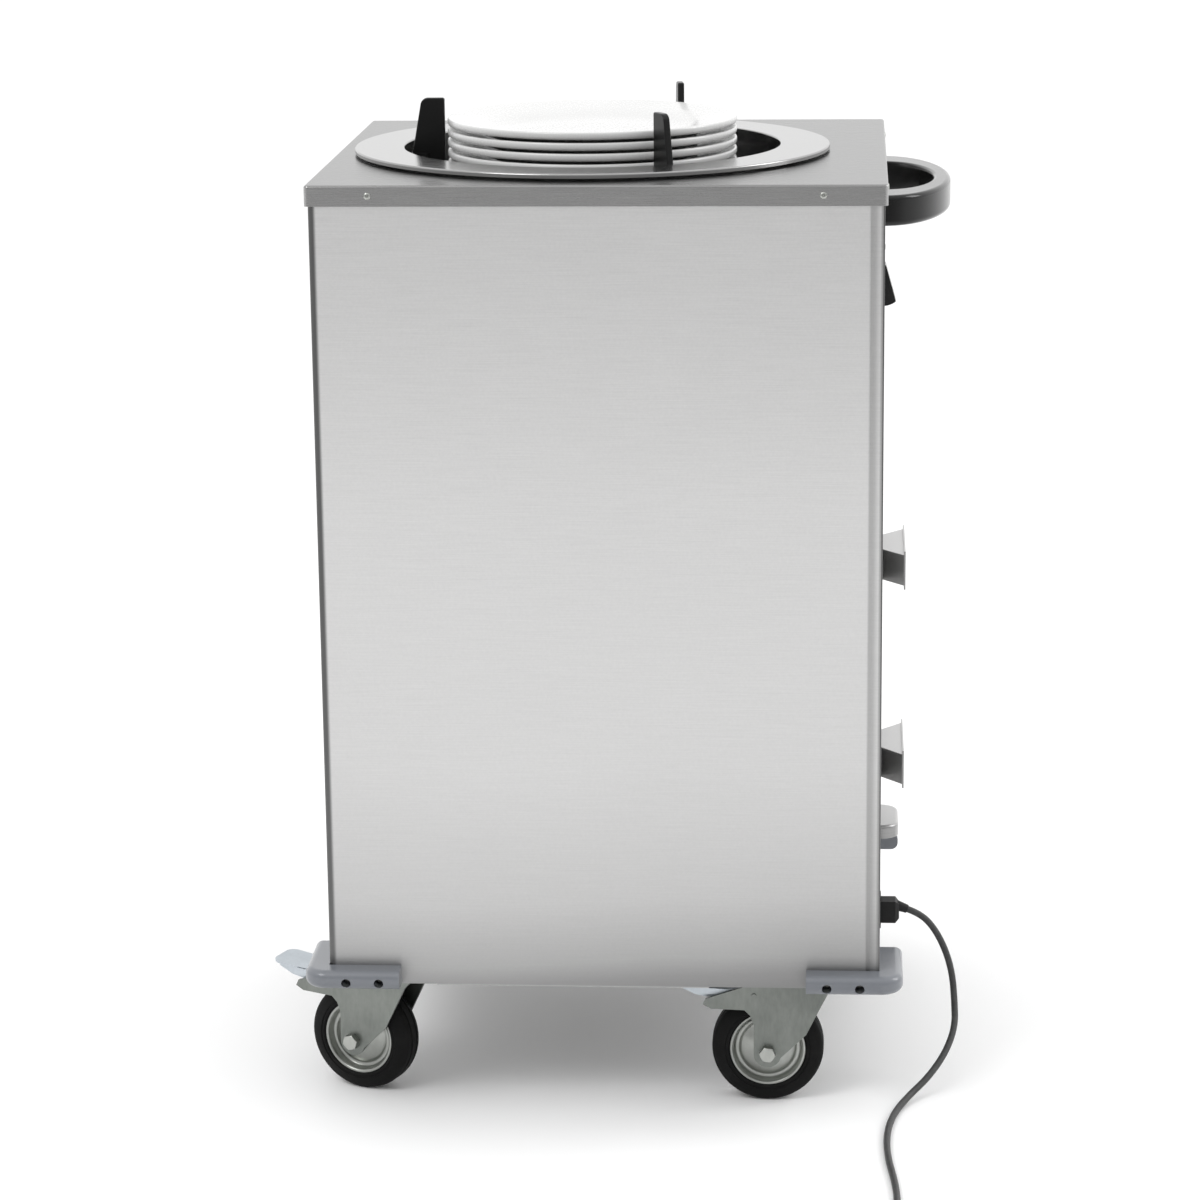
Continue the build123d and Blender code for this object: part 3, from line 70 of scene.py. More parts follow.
def setCamera(view):
    turn, down, roll = (math.radians(view[key]) for key in ("turnLeft", "lookDown", "roll"))
    ahead = Vector((-math.sin(turn) * math.cos(down), math.cos(turn) * math.cos(down), -math.sin(down)))
    level = Vector((math.cos(turn), math.sin(turn), 0))
    upright = level.cross(ahead)
    right = level * math.cos(roll) + upright * math.sin(roll)
    up = upright * math.cos(roll) - level * math.sin(roll)
    data = bpy.data.cameras.new("photoCamera")
    data.lens = view["lens"]
    data.sensor_width = view["sensor"]
    camera = bpy.data.objects.new("photoCamera", data)
    turned = Matrix((right, up, -ahead)).transposed().to_4x4()
    camera.matrix_world = Matrix.Translation(view["place"]) @ turned
    bpy.context.scene.collection.objects.link(camera)
    bpy.context.scene.camera = camera


setCamera(photoCamera)
bpy.context.scene.view_settings.view_transform = "Standard"
print("camera set")


# A node's output that can be used in sums.
class Wire:
    def __init__(self, graph, output):
        self.graph = graph
        self.output = output

    def maths(self, operation, other, flipped=False):
        pair = (other, self) if flipped else (self, other)
        return self.graph.add("Math", {"operation": operation}, {0: pair[0], 1: pair[1]})

    def __add__(self, other):
        return self.maths("ADD", other)

    __radd__ = __add__

    def __sub__(self, other):
        return self.maths("SUBTRACT", other)

    def __rsub__(self, other):
        return self.maths("SUBTRACT", other, True)

    def __mul__(self, other):
        return self.maths("MULTIPLY", other)

    __rmul__ = __mul__

    def __truediv__(self, other):
        return self.maths("DIVIDE", other)

    def __rtruediv__(self, other):
        return self.maths("DIVIDE", other, True)


# Adds shader nodes to a tree and links what they are given.
class Graph:
    def __init__(self, tree):
        self.tree = tree

    def add(self, kind, settings=None, inputs=None, output=0):
        node = self.tree.nodes.new("ShaderNode" + kind)
        for key, value in (settings or {}).items():
            if key == "stops":
                self.setStops(node.color_ramp, value)
            else:
                setattr(node, key, value)
        for socket, value in (inputs or {}).items():
            self.plug(node.inputs[socket], value)
        return Wire(self, node.outputs[output])

    def setStops(self, ramp, stops):
        while len(ramp.elements) < len(stops):
            ramp.elements.new(0.5)
        for element, (position, shade) in zip(ramp.elements, stops):
            element.position = position
            element.color = shade

    def plug(self, socket, value):
        if isinstance(value, Wire):
            self.tree.links.new(value.output, socket)
        else:
            socket.default_value = value

    # One coordinate of a texture coordinate output.
    def axis(self, source, letter):
        where = self.add("TexCoord", output=source)
        return self.add("SeparateXYZ", {}, {0: where}, letter)

    def shade(self, factor, *stops):
        return self.add("ValToRGB", {"stops": stops}, {"Fac": factor})

    def blend(self, factor, first, second):  # sockets 6, 7 and output 2 are the Mix node's colours
        return self.add("Mix", {"data_type": "RGBA"}, {0: factor, 6: first, 7: second}, 2)


# One material: its nodes, and the shader they feed.
class Finish(Graph):
    def __init__(self, name, **constants):
        self.material = bpy.data.materials.new(name)
        self.material.use_nodes = True
        super().__init__(self.material.node_tree)
        self.shader = self.tree.nodes["Principled BSDF"]
        for socket, value in constants.items():
            self.shader.inputs[socket.replace("_", " ")].default_value = value

    def feed(self, **sockets):
        for socket, value in sockets.items():
            self.plug(self.shader.inputs[socket.replace("_", " ")], value)
        return self.material

    # Object coordinates, stretched by scale per metre.
    def place(self, scale=(1, 1, 1), shift=(0, 0, 0)):
        where = self.add("TexCoord", output="Object")
        return self.add("Mapping", {}, {"Vector": where, "Scale": scale, "Location": shift})

    def noise(self, scale=(1, 1, 1), detail=3.0, rough=0.5, shift=(0, 0, 0)):
        return self.add("TexNoise", {}, {"Vector": self.place(scale, shift), "Scale": 1.0,
                                         "Detail": detail, "Roughness": rough})

    # One coordinate of the surface's direction.
    def facing(self, letter):
        return self.add("SeparateXYZ", {}, {0: self.add("NewGeometry", output="Normal")}, letter)

    # 1 halfway round an upright bend, 0 on flat faces: the mask for painted shade on each bend.
    def bendShadeMask(self):
        both = (self.facing("X") * self.facing("Y")).maths("ABSOLUTE", 0.0)
        return (both * 4.0).maths("MINIMUM", 1.0)

    def bump(self, height, strength, depth):
        return self.add("Bump", {}, {"Height": height, "Strength": strength, "Distance": depth})


def grey(value, warm=0.0):
    return (value * (1 + warm), value, value * (1 - warm), 1)


steelNoise = {"cloud": (2.2, 2.2, 3.1), "cloudShift": (3.7, 1.2, 0.4), "speck": (420, 420, 420)}
# darkest and lightest bound the grain's own tone; the bend and foot tones are the colours of painted shade.
steelGrainAndPaintedShade = {"darkest": 0.62, "lightest": 1.38, "bendShadeTone": 0.2, "footShadeTone": 0.25}
grainDepth = 0.00004


# Stainless sheet, brushed level: the grain runs along X on the front and back, and along Y on the
# two sides. The bend, top, front, seam and foot values each darken one region with painted shade that
# stands in for shade and dark reflections: round each bend, faces that look up or to the front, strips along
# X on the front and back, and towards the foot.
def sheetSteel(name, look):
    finish = Finish(name, Metallic=1.0)
    long, fine = look["grainLength"], look["grainFine"]
    grain = finish.noise((long, fine if look["flat"] else long, fine), 4.0, 0.62)
    soft = finish.noise(steelNoise["cloud"], 2.0, 0.5, steelNoise["cloudShift"])
    speck = finish.noise(steelNoise["speck"], 2.0, 0.6)
    tone = grain * look["grainTone"] + soft * look["cloudTone"] + speck * look["speckTone"]
    middle = 0.5 * (look["grainTone"] + look["cloudTone"] + look["speckTone"])
    level = tone - middle + 0.5
    dark = look["shade"] * steelGrainAndPaintedShade["darkest"]
    light = min(1.0, look["shade"] * steelGrainAndPaintedShade["lightest"])
    colour = finish.shade(level, (0.0, grey(dark, look["warm"])), (1.0, grey(light, look["warm"])))
    # Painted shade: a dark strip round each upright bend, standing in for the dark reflection there.
    if look["bendPaintedShade"]:
        colour = finish.blend(finish.bendShadeMask() * look["bendPaintedShade"], colour,
                              grey(look["shade"] * steelGrainAndPaintedShade["bendShadeTone"]))
    # Painted shade: faces that look up are darkened towards black, standing in for a darker reflection.
    if look["topPaintedShade"]:
        colour = finish.blend(finish.facing("Z").maths("MAXIMUM", 0.0) * look["topPaintedShade"], colour, grey(0))
    # Painted shade: faces that look to the front are darkened towards black.
    if look["frontPaintedShade"]:
        frontShade = (finish.facing("Y") * -1.6).maths("MAXIMUM", 0.0).maths("MINIMUM", 1.0)
        colour = finish.blend(frontShade * look["frontPaintedShade"], colour, grey(0))
    # Painted shade: dark strips along X beside the side edges of the front and back, standing in for shade
    # in the seam groove and the dark reflection in the bend.
    if look["seamPaintedShade"]:
        along = (finish.axis("Object", "X") - look["seamShadeFrom"]) / look["seamShadeWide"]
        flat = (finish.facing("Y") * 3.0).maths("ABSOLUTE", 0.0).maths("MINIMUM", 1.0)
        seamShade = finish.shade(along, *look["seamShadeStops"]) * flat
        colour = finish.blend(seamShade * look["seamPaintedShade"], colour, grey(0))
    # Painted shade: darker towards the bottom, with a noisy edge, standing in for the dark reflection near
    # the foot.
    if look["footPaintedShade"]:
        height = finish.axis("Object", "Z") + soft * 0.05 - 0.025
        foot = finish.shade((height - look["footShadeFrom"]) / look["footShadeTall"], *look["footShadeStops"])
        colour = finish.blend(foot * look["footPaintedShade"], colour,
                              grey(look["shade"] * steelGrainAndPaintedShade["footShadeTone"]))
    rough = grain * look["roughSpread"] + (look["rough"] - look["roughSpread"] * 0.5)
    return finish.feed(Base_Color=colour, Roughness=rough,
                       Normal=finish.bump(grain, look["bump"], grainDepth))


panelLook = {"shade": 0.70, "warm": 0.004, "rough": 0.40, "roughSpread": 0.14, "grainLength": 22,
             "grainFine": 1500, "grainTone": 0.26, "cloudTone": 0.05, "speckTone": 0.12, "bump": 0.3,
             # Painted shade round the upright bends.
             "flat": False, "bendPaintedShade": 0.85,
             # Painted shade towards the foot.
             "footPaintedShade": 0.86, "footShadeFrom": 0.118, "footShadeTall": 0.45,
             "footShadeStops": ((0.0, grey(1.0)), (0.03, grey(0.92)), (0.07, grey(0.70)), (0.20, grey(0.41)),
                           (0.47, grey(0.18)), (0.74, grey(0.08)), (1.0, grey(0.0))),
             # Painted shade beside the side seams.
             "topPaintedShade": 0, "frontPaintedShade": 0, "seamPaintedShade": 0.58, "seamShadeFrom": -0.2475, "seamShadeWide": 0.495,
             "seamShadeStops": ((0.0, grey(1.0)), (0.0085, grey(0.86)), (0.0115, grey(0.66)),
                           (0.0130, grey(0.0)), (0.9725, grey(0.0)), (0.9755, grey(0.52)),
                           (0.9868, grey(0.52)), (0.9895, grey(0.06)), (0.9925, grey(0.10)),
                           (0.9950, grey(0.80)), (1.0, grey(0.95)))}
plainLook = {**panelLook, "bendPaintedShade": 0, "footPaintedShade": 0, "seamPaintedShade": 0}
# The deck's top is painted darker than its skirt: painted shade.
deckLook = {**plainLook, "shade": 0.40, "topPaintedShade": 0.49, "rough": 0.27, "roughSpread": 0.12,
            "flat": True, "speckTone": 0.04}
flangeLook = {**deckLook, "shade": 0.36, "topPaintedShade": 0, "rough": 0.20, "roughSpread": 0.06,
              "grainTone": 0.08, "cloudTone": 0.04, "speckTone": 0.02, "bump": 0.12}
# Fittings are painted darker on their front-facing faces: painted shade.
fittingLook = {**plainLook, "shade": 0.50, "frontPaintedShade": 0.42, "rough": 0.34}
tubeLook = {**plainLook, "shade": 0.34, "rough": 0.36, "cloudTone": 0.12}
innerLook = {**tubeLook, "shade": 0.42, "rough": 0.48, "cloudTone": 0.16, "speckTone": 0.12}


zincTone = {"cloud": 0.55, "below": 0.14, "range": 0.28}


# Zinc plate on pressed or turned steel: a faint cloud and drawing scuffs.
def zincPlate(name, look):
    finish = Finish(name, Metallic=1.0)
    cloud = finish.noise((16, 16, 16), 4.0, 0.6)
    scuff = finish.noise((260, 260, 90), 4.0, 0.6)
    tone = cloud * zincTone["cloud"] + scuff * look["scuff"]
    low = 0.5 * (zincTone["cloud"] + look["scuff"]) - zincTone["below"]
    colour = finish.shade(tone - low, (0.0, look["dark"]), (zincTone["range"], look["light"]))
    rough = cloud * 0.12 + scuff * 0.10 + look["rough"]
    return finish.feed(Base_Color=colour, Roughness=rough,
                       Normal=finish.bump(scuff, look["bump"], 0.00005))


forkLook = {"dark": (0.150, 0.160, 0.150, 1), "light": (0.250, 0.264, 0.246, 1), "rough": 0.26,
            "scuff": 0.25, "bump": 0.3}
rimLook = {"dark": (0.26, 0.268, 0.252, 1), "light": (0.46, 0.472, 0.448, 1), "rough": 0.20,
           "scuff": 0.10, "bump": 0.1}
boltLook = {"dark": (0.34, 0.35, 0.33, 1), "light": (0.54, 0.55, 0.52, 1), "rough": 0.20,
            "scuff": 0.2, "bump": 0.2}
pedalLook = {"dark": (0.44, 0.48, 0.51, 1), "light": (0.60, 0.64, 0.68, 1), "rough": 0.34,
             "scuff": 0.2, "bump": 0.3}


# Moulded plastic: fine matt texture, faint flow marks and a little dust.
def mouldedPlastic(name, look):
    finish = Finish(name, IOR=1.49, Coat_Weight=look["coat"], Coat_Roughness=look["coatRough"],
                    Specular_IOR_Level=look["shine"])
    texture = finish.noise((1500, 1500, 1500), 2.0, 0.5)
    flow = finish.noise((18, 18, 30), 4.0, 0.6)
    dust = finish.noise((60, 60, 60), 6.0, 0.75)
    dusty = finish.shade(dust, (0.55, grey(0)), (0.78, grey(1)))
    colour = finish.blend(dusty * look["dust"], look["colour"], look["dustColour"])
    tinted = finish.blend(flow * look["flow"], colour, look["flowColour"])
    rough = look["rough"] + texture * 0.08 + flow * 0.10
    return finish.feed(Base_Color=tinted, Roughness=rough,
                       Normal=finish.bump(texture, look["bump"], 0.00006))


blackLook = {"colour": grey(0.006), "flowColour": grey(0.012), "dustColour": grey(0.08),
             "rough": 0.05, "coat": 0.1, "coatRough": 0.05, "shine": 0.28, "dust": 0.06,
             "flow": 0.4, "bump": 0.08}
matLook = {**blackLook, "colour": grey(0.010), "rough": 0.40, "coat": 0.0, "dust": 0.25, "bump": 0.3}
fingerLook = {**blackLook, "colour": grey(0.004), "rough": 0.22, "coat": 0.0, "dust": 0.05}
bumperLook = {"colour": (0.142, 0.152, 0.170, 1), "flowColour": (0.176, 0.187, 0.207, 1),
              "dustColour": grey(0.4), "rough": 0.24, "coat": 0.5, "coatRough": 0.15, "shine": 0.5,
              "dust": 0.10, "flow": 0.5, "bump": 0.3}
nylonLook = {"colour": (0.74, 0.72, 0.66, 1), "flowColour": (0.80, 0.78, 0.72, 1),
             "dustColour": grey(0.4), "rough": 0.35, "coat": 0.0, "coatRough": 0.3, "shine": 0.5,
             "dust": 0.2, "flow": 0.5, "bump": 0.2}


# Black rubber with dull sides, dusty in its pores.
def tyreRubber():
    finish = Finish("tyreRubber", IOR=1.5, Specular_IOR_Level=0.15)
    pores = finish.noise((900, 900, 900), 4.0, 0.7)
    dust = finish.noise((34, 34, 34), 6.0, 0.75)
    dusty = finish.shade(dust, (0.48, grey(0)), (0.80, grey(1)))
    colour = finish.blend(dusty * 0.25, grey(0.003), (0.028, 0.027, 0.025, 1))
    return finish.feed(Base_Color=colour, Roughness=0.52 + pores * 0.22,
                       Normal=finish.bump(pores, 0.5, 0.0002))


# White glaze with a faint cloudiness.
def plateGlaze():
    finish = Finish("plateGlaze", IOR=1.48, Coat_Weight=0.25, Coat_Roughness=0.08)
    cloud = finish.noise((9, 9, 9), 3.0, 0.5)
    pits = finish.noise((700, 700, 700), 2.0, 0.5)
    colour = finish.shade(cloud, (0.3, (0.66, 0.66, 0.655, 1)), (0.7, (0.70, 0.70, 0.695, 1)))
    return finish.feed(Base_Color=colour, Roughness=0.24 + pits * 0.06,
                       Normal=finish.bump(pits, 0.05, 0.00005))


def cordRubber():
    finish = Finish("cordRubber", IOR=1.5)
    rub = finish.noise((240, 240, 240), 5.0, 0.7)
    fine = finish.noise((1900, 1900, 1900), 2.0, 0.5)
    colour = finish.shade(rub, (0.35, grey(0.030)), (0.75, grey(0.055)))
    return finish.feed(Base_Color=colour, Roughness=0.42 + fine * 0.2,
                       Normal=finish.bump(fine, 0.3, 0.0001))


# Plain worked metal with drawing marks and heat or oil stains.
def wornMetal(name, dark, light, rough):
    finish = Finish(name, Metallic=1.0)
    stain = finish.noise((30, 30, 30), 5.0, 0.65)
    drawn = finish.noise((700, 700, 90), 3.0, 0.5)
    colour = finish.shade(stain * 0.7 + drawn * 0.3, (0.35, dark), (0.68, light))
    return finish.feed(Base_Color=colour, Roughness=rough + stain * 0.2,
                       Normal=finish.bump(drawn, 0.2, 0.0001))


def lampLens():
    finish = Finish("lampLens", IOR=1.49, Coat_Weight=1.0, Coat_Roughness=0.05, Transmission_Weight=0.25)
    facet = finish.add("TexVoronoi", {"feature": "F1"},
                       {"Vector": finish.place((900, 900, 900)), "Scale": 1.0})
    colour = finish.shade(facet, (0.0, (0.30, 0.30, 0.29, 1)), (0.9, (0.46, 0.46, 0.44, 1)))
    return finish.feed(Base_Color=colour, Roughness=0.15 + facet * 0.1,
                       Normal=finish.bump(facet, 0.4, 0.0003))


finishes = {
    "panel": sheetSteel("brushedPanel", panelLook),
    "deck": sheetSteel("brushedDeck", deckLook),
    "flange": sheetSteel("polishedRing", flangeLook),
    "fitting": sheetSteel("bentFitting", fittingLook),
    "tube": sheetSteel("tubeSteel", tubeLook),
    "inner": sheetSteel("millSteel", innerLook),
    "fork": zincPlate("zincFork", forkLook),
    "rim": zincPlate("zincRim", rimLook),
    "bolt": zincPlate("zincBolt", boltLook),
    "pedal": zincPlate("zincPedal", pedalLook),
    "black": mouldedPlastic("blackMoulding", blackLook),
    "matt": mouldedPlastic("mattMoulding", matLook),
    "finger": mouldedPlastic("fingerMoulding", fingerLook),
    "bumper": mouldedPlastic("bumperMoulding", bumperLook),
    "nylon": mouldedPlastic("nylonShoe", nylonLook),
    "tyre": tyreRubber(),
    "glaze": plateGlaze(),
    "cord": cordRubber(),
    "spring": wornMetal("springWire", grey(0.22), grey(0.45), 0.25),
    "element": wornMetal("elementSheath", (0.05, 0.045, 0.045, 1), (0.14, 0.12, 0.11, 1), 0.45),
    "brass": wornMetal("pinBrass", (0.50, 0.37, 0.16, 1), (0.78, 0.62, 0.32, 1), 0.16),
    "lens": lampLens(),
}
print("finishes made:", len(finishes))


nodeFinishes = {
    "panel": ("cabinet_wrap", "service_panel"),
    "fitting": ("cord_cleat_upper", "cord_cleat_lower", "vent_hood"),
    "deck": ("top_deck",),
    "flange": ("tube_flange",),
    "tube": ("plate_tube", "guide_rod_left", "guide_rod_front", "guide_rod_back", "lift_platform"),
    "inner": ("base_pan", "corner_posts", "element_clips", "terminal_box", "thermostat"),
    "bolt": ("blind_rivets", "handle_screws", "bumper_screws", "caster_bolts"),
    "fork": ("caster_plates",),
    "black": ("bow_handle", "rocker"),
    "finger": ("guide_finger_left", "guide_finger_front", "guide_finger_back"),
    "matt": ("switch_bezel", "cord_gland"),
    "bumper": ("corner_bumper_front_left", "corner_bumper_front_right", "corner_bumper_rear_left",
               "corner_bumper_rear_right"),
    "nylon": ("lift_shoes",),
    "glaze": ("plate_stack", "plate_top"),
    "spring": ("lift_springs",),
    "element": ("heating_element",),
    "lens": ("pilot_lamp",),
    "cord": ("power_cord", "cord_coil", "power_plug"),
}
casters = ("front_right", "front_left", "rear_right", "rear_left")


def coat(node, finish):
    data = nodes[node].data
    data.materials.clear()
    data.materials.append(finishes[finish])


for finishName, names in nodeFinishes.items():
    for node in names:
        coat(node, finishName)
for caster in casters:
    coat("fork_" + caster, "fork")
    coat("axle_" + caster, "bolt")
    coat("rim_" + caster, "rim")
    coat("tyre_" + caster, "tyre")
coat("brake_pedal_front_right", "pedal")
coat("brake_pedal_front_left", "pedal")
print("nodes coated")


mergeDistance = 1e-6


# Turns a bmesh into a finished piece that rides on a body.
def meshPiece(name, mesh, finish, body, slot, *replaced, smooth=35.0):
    bmesh.ops.remove_doubles(mesh, verts=mesh.verts, dist=mergeDistance)
    bmesh.ops.recalc_face_normals(mesh, faces=mesh.faces)
    data = bpy.data.meshes.new(name)
    mesh.to_mesh(data)
    mesh.free()
    data.shade_smooth()
    data.set_sharp_from_angle(angle=math.radians(smooth))
    data.materials.append(finishes[finish])
    piece = bpy.data.objects.new(name, data)
    bpy.context.scene.collection.objects.link(piece)
    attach(piece, body)
    if replaced:
        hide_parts(*replaced)
    return piece


# Turns an outline of (radius, height) points about Z and sets it at place.
def spin(mesh, outline, place, steps=96):
    rings = []
    for step in range(steps):
        angle = 2 * math.pi * step / steps
        ring = []
        for radius, height in outline:
            spot = Vector((radius * math.cos(angle), radius * math.sin(angle), height))
            ring.append(mesh.verts.new(place @ spot))
        rings.append(ring)
    count = len(outline)
    for step in range(steps):
        here, there = rings[step], rings[(step + 1) % steps]
        for i in range(count - 1):
            flat = outline[i][0] < 1e-9 and outline[i + 1][0] < 1e-9
            if not flat:
                mesh.faces.new((here[i], there[i], there[i + 1], here[i + 1]))


# An open outline whose inner corners are rounded, as (radius, height) points.
def rounded(corners, radii, steps=5):
    points = [corners[0]]
    for i in range(1, len(corners) - 1):
        before, corner, after = (Vector(corners[k]) for k in (i - 1, i, i + 1))
        reach = radii[i - 1]
        if reach <= 0:
            points.append(tuple(corner))
            continue
        start = corner + (before - corner).normalized() * min(reach, (before - corner).length * 0.49)
        end = corner + (after - corner).normalized() * min(reach, (after - corner).length * 0.49)
        for step in range(steps + 1):
            t = step / steps
            points.append(tuple(start * (1 - t) ** 2 + corner * 2 * t * (1 - t) + end * t ** 2))
    points.append(corners[-1])
    return points


mainsCord = {
    "diameter": 0.0062,
    "route": [
        (0.273918, -0.1, 0.150764), (0.286134, -0.1, 0.146318), (0.299, -0.101, 0.133),
        (0.3095, -0.1045, 0.1135), (0.316, -0.111, 0.092), (0.318, -0.121, 0.069),
        (0.3185, -0.137, 0.050), (0.310, -0.158, 0.033), (0.294, -0.182, 0.0175),
        (0.275, -0.203, 0.0065), (0.263, -0.231, 0.0031), (0.2565, -0.266, 0.0031),
        (0.254, -0.305, 0.0031), (0.2555, -0.347, 0.0031), (0.260, -0.389, 0.0031),
        (0.2625, -0.431, 0.0031), (0.261, -0.471, 0.0031), (0.262, -0.511, 0.0031),
    ],
    "coilCentre": (0.215, -0.556),
    "outerTurn": 0.047,
    "turnGap": 0.0006,
    "layerGap": 0.00045,
    "halfTurnsIn": 5,
    "halfTurnsOut": 4,
    "tail": 0.042,
    "pointsPerHalfTurn": 10,
}


# The coil's turns: half turns that spiral in on the floor, climb a layer while they turn round,
# and spiral out again on top.
def coilPoints(cord):
    step = (cord["diameter"] + cord["turnGap"]) / 2
    rise = cord["diameter"] + cord["layerGap"]
    inTurns, count = cord["halfTurnsIn"], cord["pointsPerHalfTurn"]
    outward = 1 / math.cos(math.pi / count / 2)
    height = cord["diameter"] / 2
    here = cord["coilCentre"][0] + cord["outerTurn"]
    level = cord["coilCentre"][1]
    points = [(here, level + cord["diameter"], height)]
    for turn in range(inTurns + 1 + cord["halfTurnsOut"]):
        radius = cord["outerTurn"] - step * min(turn, 2 * inTurns - turn)
        side = -1 if turn % 2 == 0 else 1
        middle = here + side * radius
        for i in range(count):
            share = (i + 0.5) / count
            angle = math.pi * share
            lift = height + (rise * share if turn == inTurns else 0)
            points.append((middle - side * radius * outward * math.cos(angle),
                           level + side * radius * outward * math.sin(angle), lift))
        if turn == inTurns:
            height += rise
        here += side * 2 * radius
    points.append((here, level - cord["tail"] * 0.5, height))
    points.append((here, level - cord["tail"], height))
    return points


def makeCord(cord):
    points = cord["route"] + coilPoints(cord)
    data = bpy.data.curves.new("mainsCord", "CURVE")
    data.dimensions = "3D"
    data.bevel_depth = cord["diameter"] / 2
    data.bevel_resolution = 4
    data.resolution_u = 6
    data.use_fill_caps = True
    spline = data.splines.new("NURBS")
    spline.points.add(len(points) - 1)
    for point, place in zip(spline.points, points):
        point.co = (*place, 1)
    spline.order_u = 3
    spline.use_endpoint_u = True
    data.materials.append(finishes["cord"])
    piece = bpy.data.objects.new("mainsCord", data)
    bpy.context.scene.collection.objects.link(piece)
    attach(piece, "cabinet")
    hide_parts("power_cord", "cord_coil")
    return piece, points[0], points[-1]


# A rounded-rectangle ring of points in the XZ plane at centre.
def ringOf(mesh, centre, width, height, corner, steps=6):
    verts = []
    for quarter in range(4):
        cx = (width / 2 - corner) * (1 if quarter in (0, 3) else -1)
        cz = (height / 2 - corner) * (1 if quarter in (0, 1) else -1)
        for step in range(steps + 1):
            angle = math.pi / 2 * (quarter + step / steps)
            verts.append(mesh.verts.new(centre + Vector((cx + corner * math.cos(angle), 0,
                                                         cz + corner * math.sin(angle)))))
    return verts


# Joins rings of points with faces, one ring to the next, and caps both ends.
def skin(mesh, rings):
    for first, second in zip(rings, rings[1:]):
        for i in range(len(first)):
            j = (i + 1) % len(first)
            mesh.faces.new((first[i], first[j], second[j], second[i]))
    mesh.faces.new(rings[0])
    mesh.faces.new(list(reversed(rings[-1])))


plugSizes = {
    "relief": 0.022,
    "ribs": 5,
    "reliefRadius": 0.0041,
    "reliefGrowth": 0.0029,
    "ribSwell": 0.0009,
    "body": 0.032,
    "width": 0.030,
    "corner": 0.0075,
    "grip": (  # share of the body's length, of its width and of its thickness
        (0.02, 0.50, 0.62), (0.12, 0.60, 0.80), (0.30, 0.74, 0.93), (0.45, 0.90, 0.99),
        (0.60, 0.98, 1.0), (0.90, 1.0, 1.0), (0.97, 0.985, 0.975), (1.0, 0.95, 0.93)),
    "bladeGap": 0.0127,
    "blade": (0.0063, 0.0175, 0.0015),
    "earthRadius": 0.0024,
    "earthOffset": 0.0119,
    "earthLong": 0.020,
}


# The moulded plug: ribbed strain relief, waisted grip and three brass pins.
def makePlug(sizes, end):
    end = Vector(end)
    thick = end.z * 2
    mesh = bmesh.new()
    rings = []
    ribs = sizes["ribs"] * 4
    for i in range(ribs + 1):
        along = sizes["relief"] * i / ribs
        swell = sizes["ribSwell"] if i % 4 in (1, 2) else 0.0
        radius = sizes["reliefRadius"] + sizes["reliefGrowth"] * i / ribs + swell
        rings.append(ringOf(mesh, end - Vector((0, along, 0)), radius * 2, radius * 2, radius * 0.999))
    for share, width, height in sizes["grip"]:
        along = sizes["relief"] + sizes["body"] * share
        rings.append(ringOf(mesh, end - Vector((0, along, 0)), sizes["width"] * width, thick * height,
                            sizes["corner"] * height))
    skin(mesh, rings)
    grip = meshPiece("plugGrip", mesh, "cord", "cabinet", "cord_rubber", "power_plug", smooth=50)
    face = end - Vector((0, sizes["relief"] + sizes["body"], 0))
    pins = bmesh.new()
    offset = sizes["earthOffset"] / 3
    wide, long, thin = sizes["blade"]
    for up in (-1, 1):
        middle = face + Vector((-offset, -long / 2 + 0.001, up * sizes["bladeGap"] / 2))
        bmesh.ops.create_cube(pins, size=1, matrix=Matrix.Translation(middle)
                              @ Matrix.Diagonal((wide, long + 0.002, thin, 1)))
    earth = face + Vector((sizes["earthOffset"] - offset, 0, 0))
    long, radius = sizes["earthLong"], sizes["earthRadius"]
    outline = rounded([(0, -long), (radius, -long), (radius, 0.001), (0, 0.001)], [radius * 0.8, 0])
    turn = Matrix.Translation(earth) @ Matrix.Rotation(-math.pi / 2, 4, "X")
    spin(pins, outline, turn, 24)
    brass = meshPiece("plugPins", pins, "brass", "cabinet", "cord_rubber")
    return grip, brass


cordPiece, cordStart, cordEnd = makeCord(mainsCord)
plugPieces = makePlug(plugSizes, cordEnd)
print("cord and plug made")


plateSizes = {"radius": 0.132, "height": 0.025, "pitch": 0.0095, "count": 12, "steps": 128}


# Half a section of a coupe plate, from the underside's centre round to the top's.
def plateOutline(sizes):
    radius, height = sizes["radius"], sizes["height"]
    corners = [(0, 0.0042), (0.0665, 0.0042), (0.0672, 0.0004), (0.0690, 0.0), (0.0712, 0.0004),
               (0.0722, 0.0045), (0.088, 0.0062), (0.103, 0.0130), (radius - 0.004, height - 0.0070),
               (radius, height - 0.0062), (radius, height), (radius - 0.0035, height), (0.103, 0.0192),
               (0.0865, 0.0112), (0.070, 0.0095), (0, 0.0095)]
    radii = [0.0006, 0.0006, 0.0012, 0.0006, 0.0016, 0.008, 0.01, 0.0030, 0.0030, 0.0026, 0.0026,
             0.012, 0.008, 0.006]
    return rounded(corners, radii, 4)


def makePlates(sizes):
    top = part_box("plate_top")
    middle = (top[0] + top[1]) / 2
    outline = plateOutline(sizes)
    for i in range(sizes["count"]):
        mesh = bmesh.new()
        drop = sizes["pitch"] * (sizes["count"] - 1 - i)
        place = Matrix.Translation((middle.x, middle.y, top[0].z - drop))
        spin(mesh, outline, place, sizes["steps"])
        replaced = ["plate_top"] if i == sizes["count"] - 1 else ["plate_stack"]
        meshPiece(f"plate{i + 1:02d}", mesh, "glaze", "lift", "plate_glaze", *replaced, smooth=60)


makePlates(plateSizes)
print("plates made")


wheelSizes = {"radius": 0.0508, "width": 0.032, "groove": 0.0012, "rim": 0.0346,
              "hub": 0.011, "hubHalf": 0.022, "bore": 0.0041, "steps": 128}


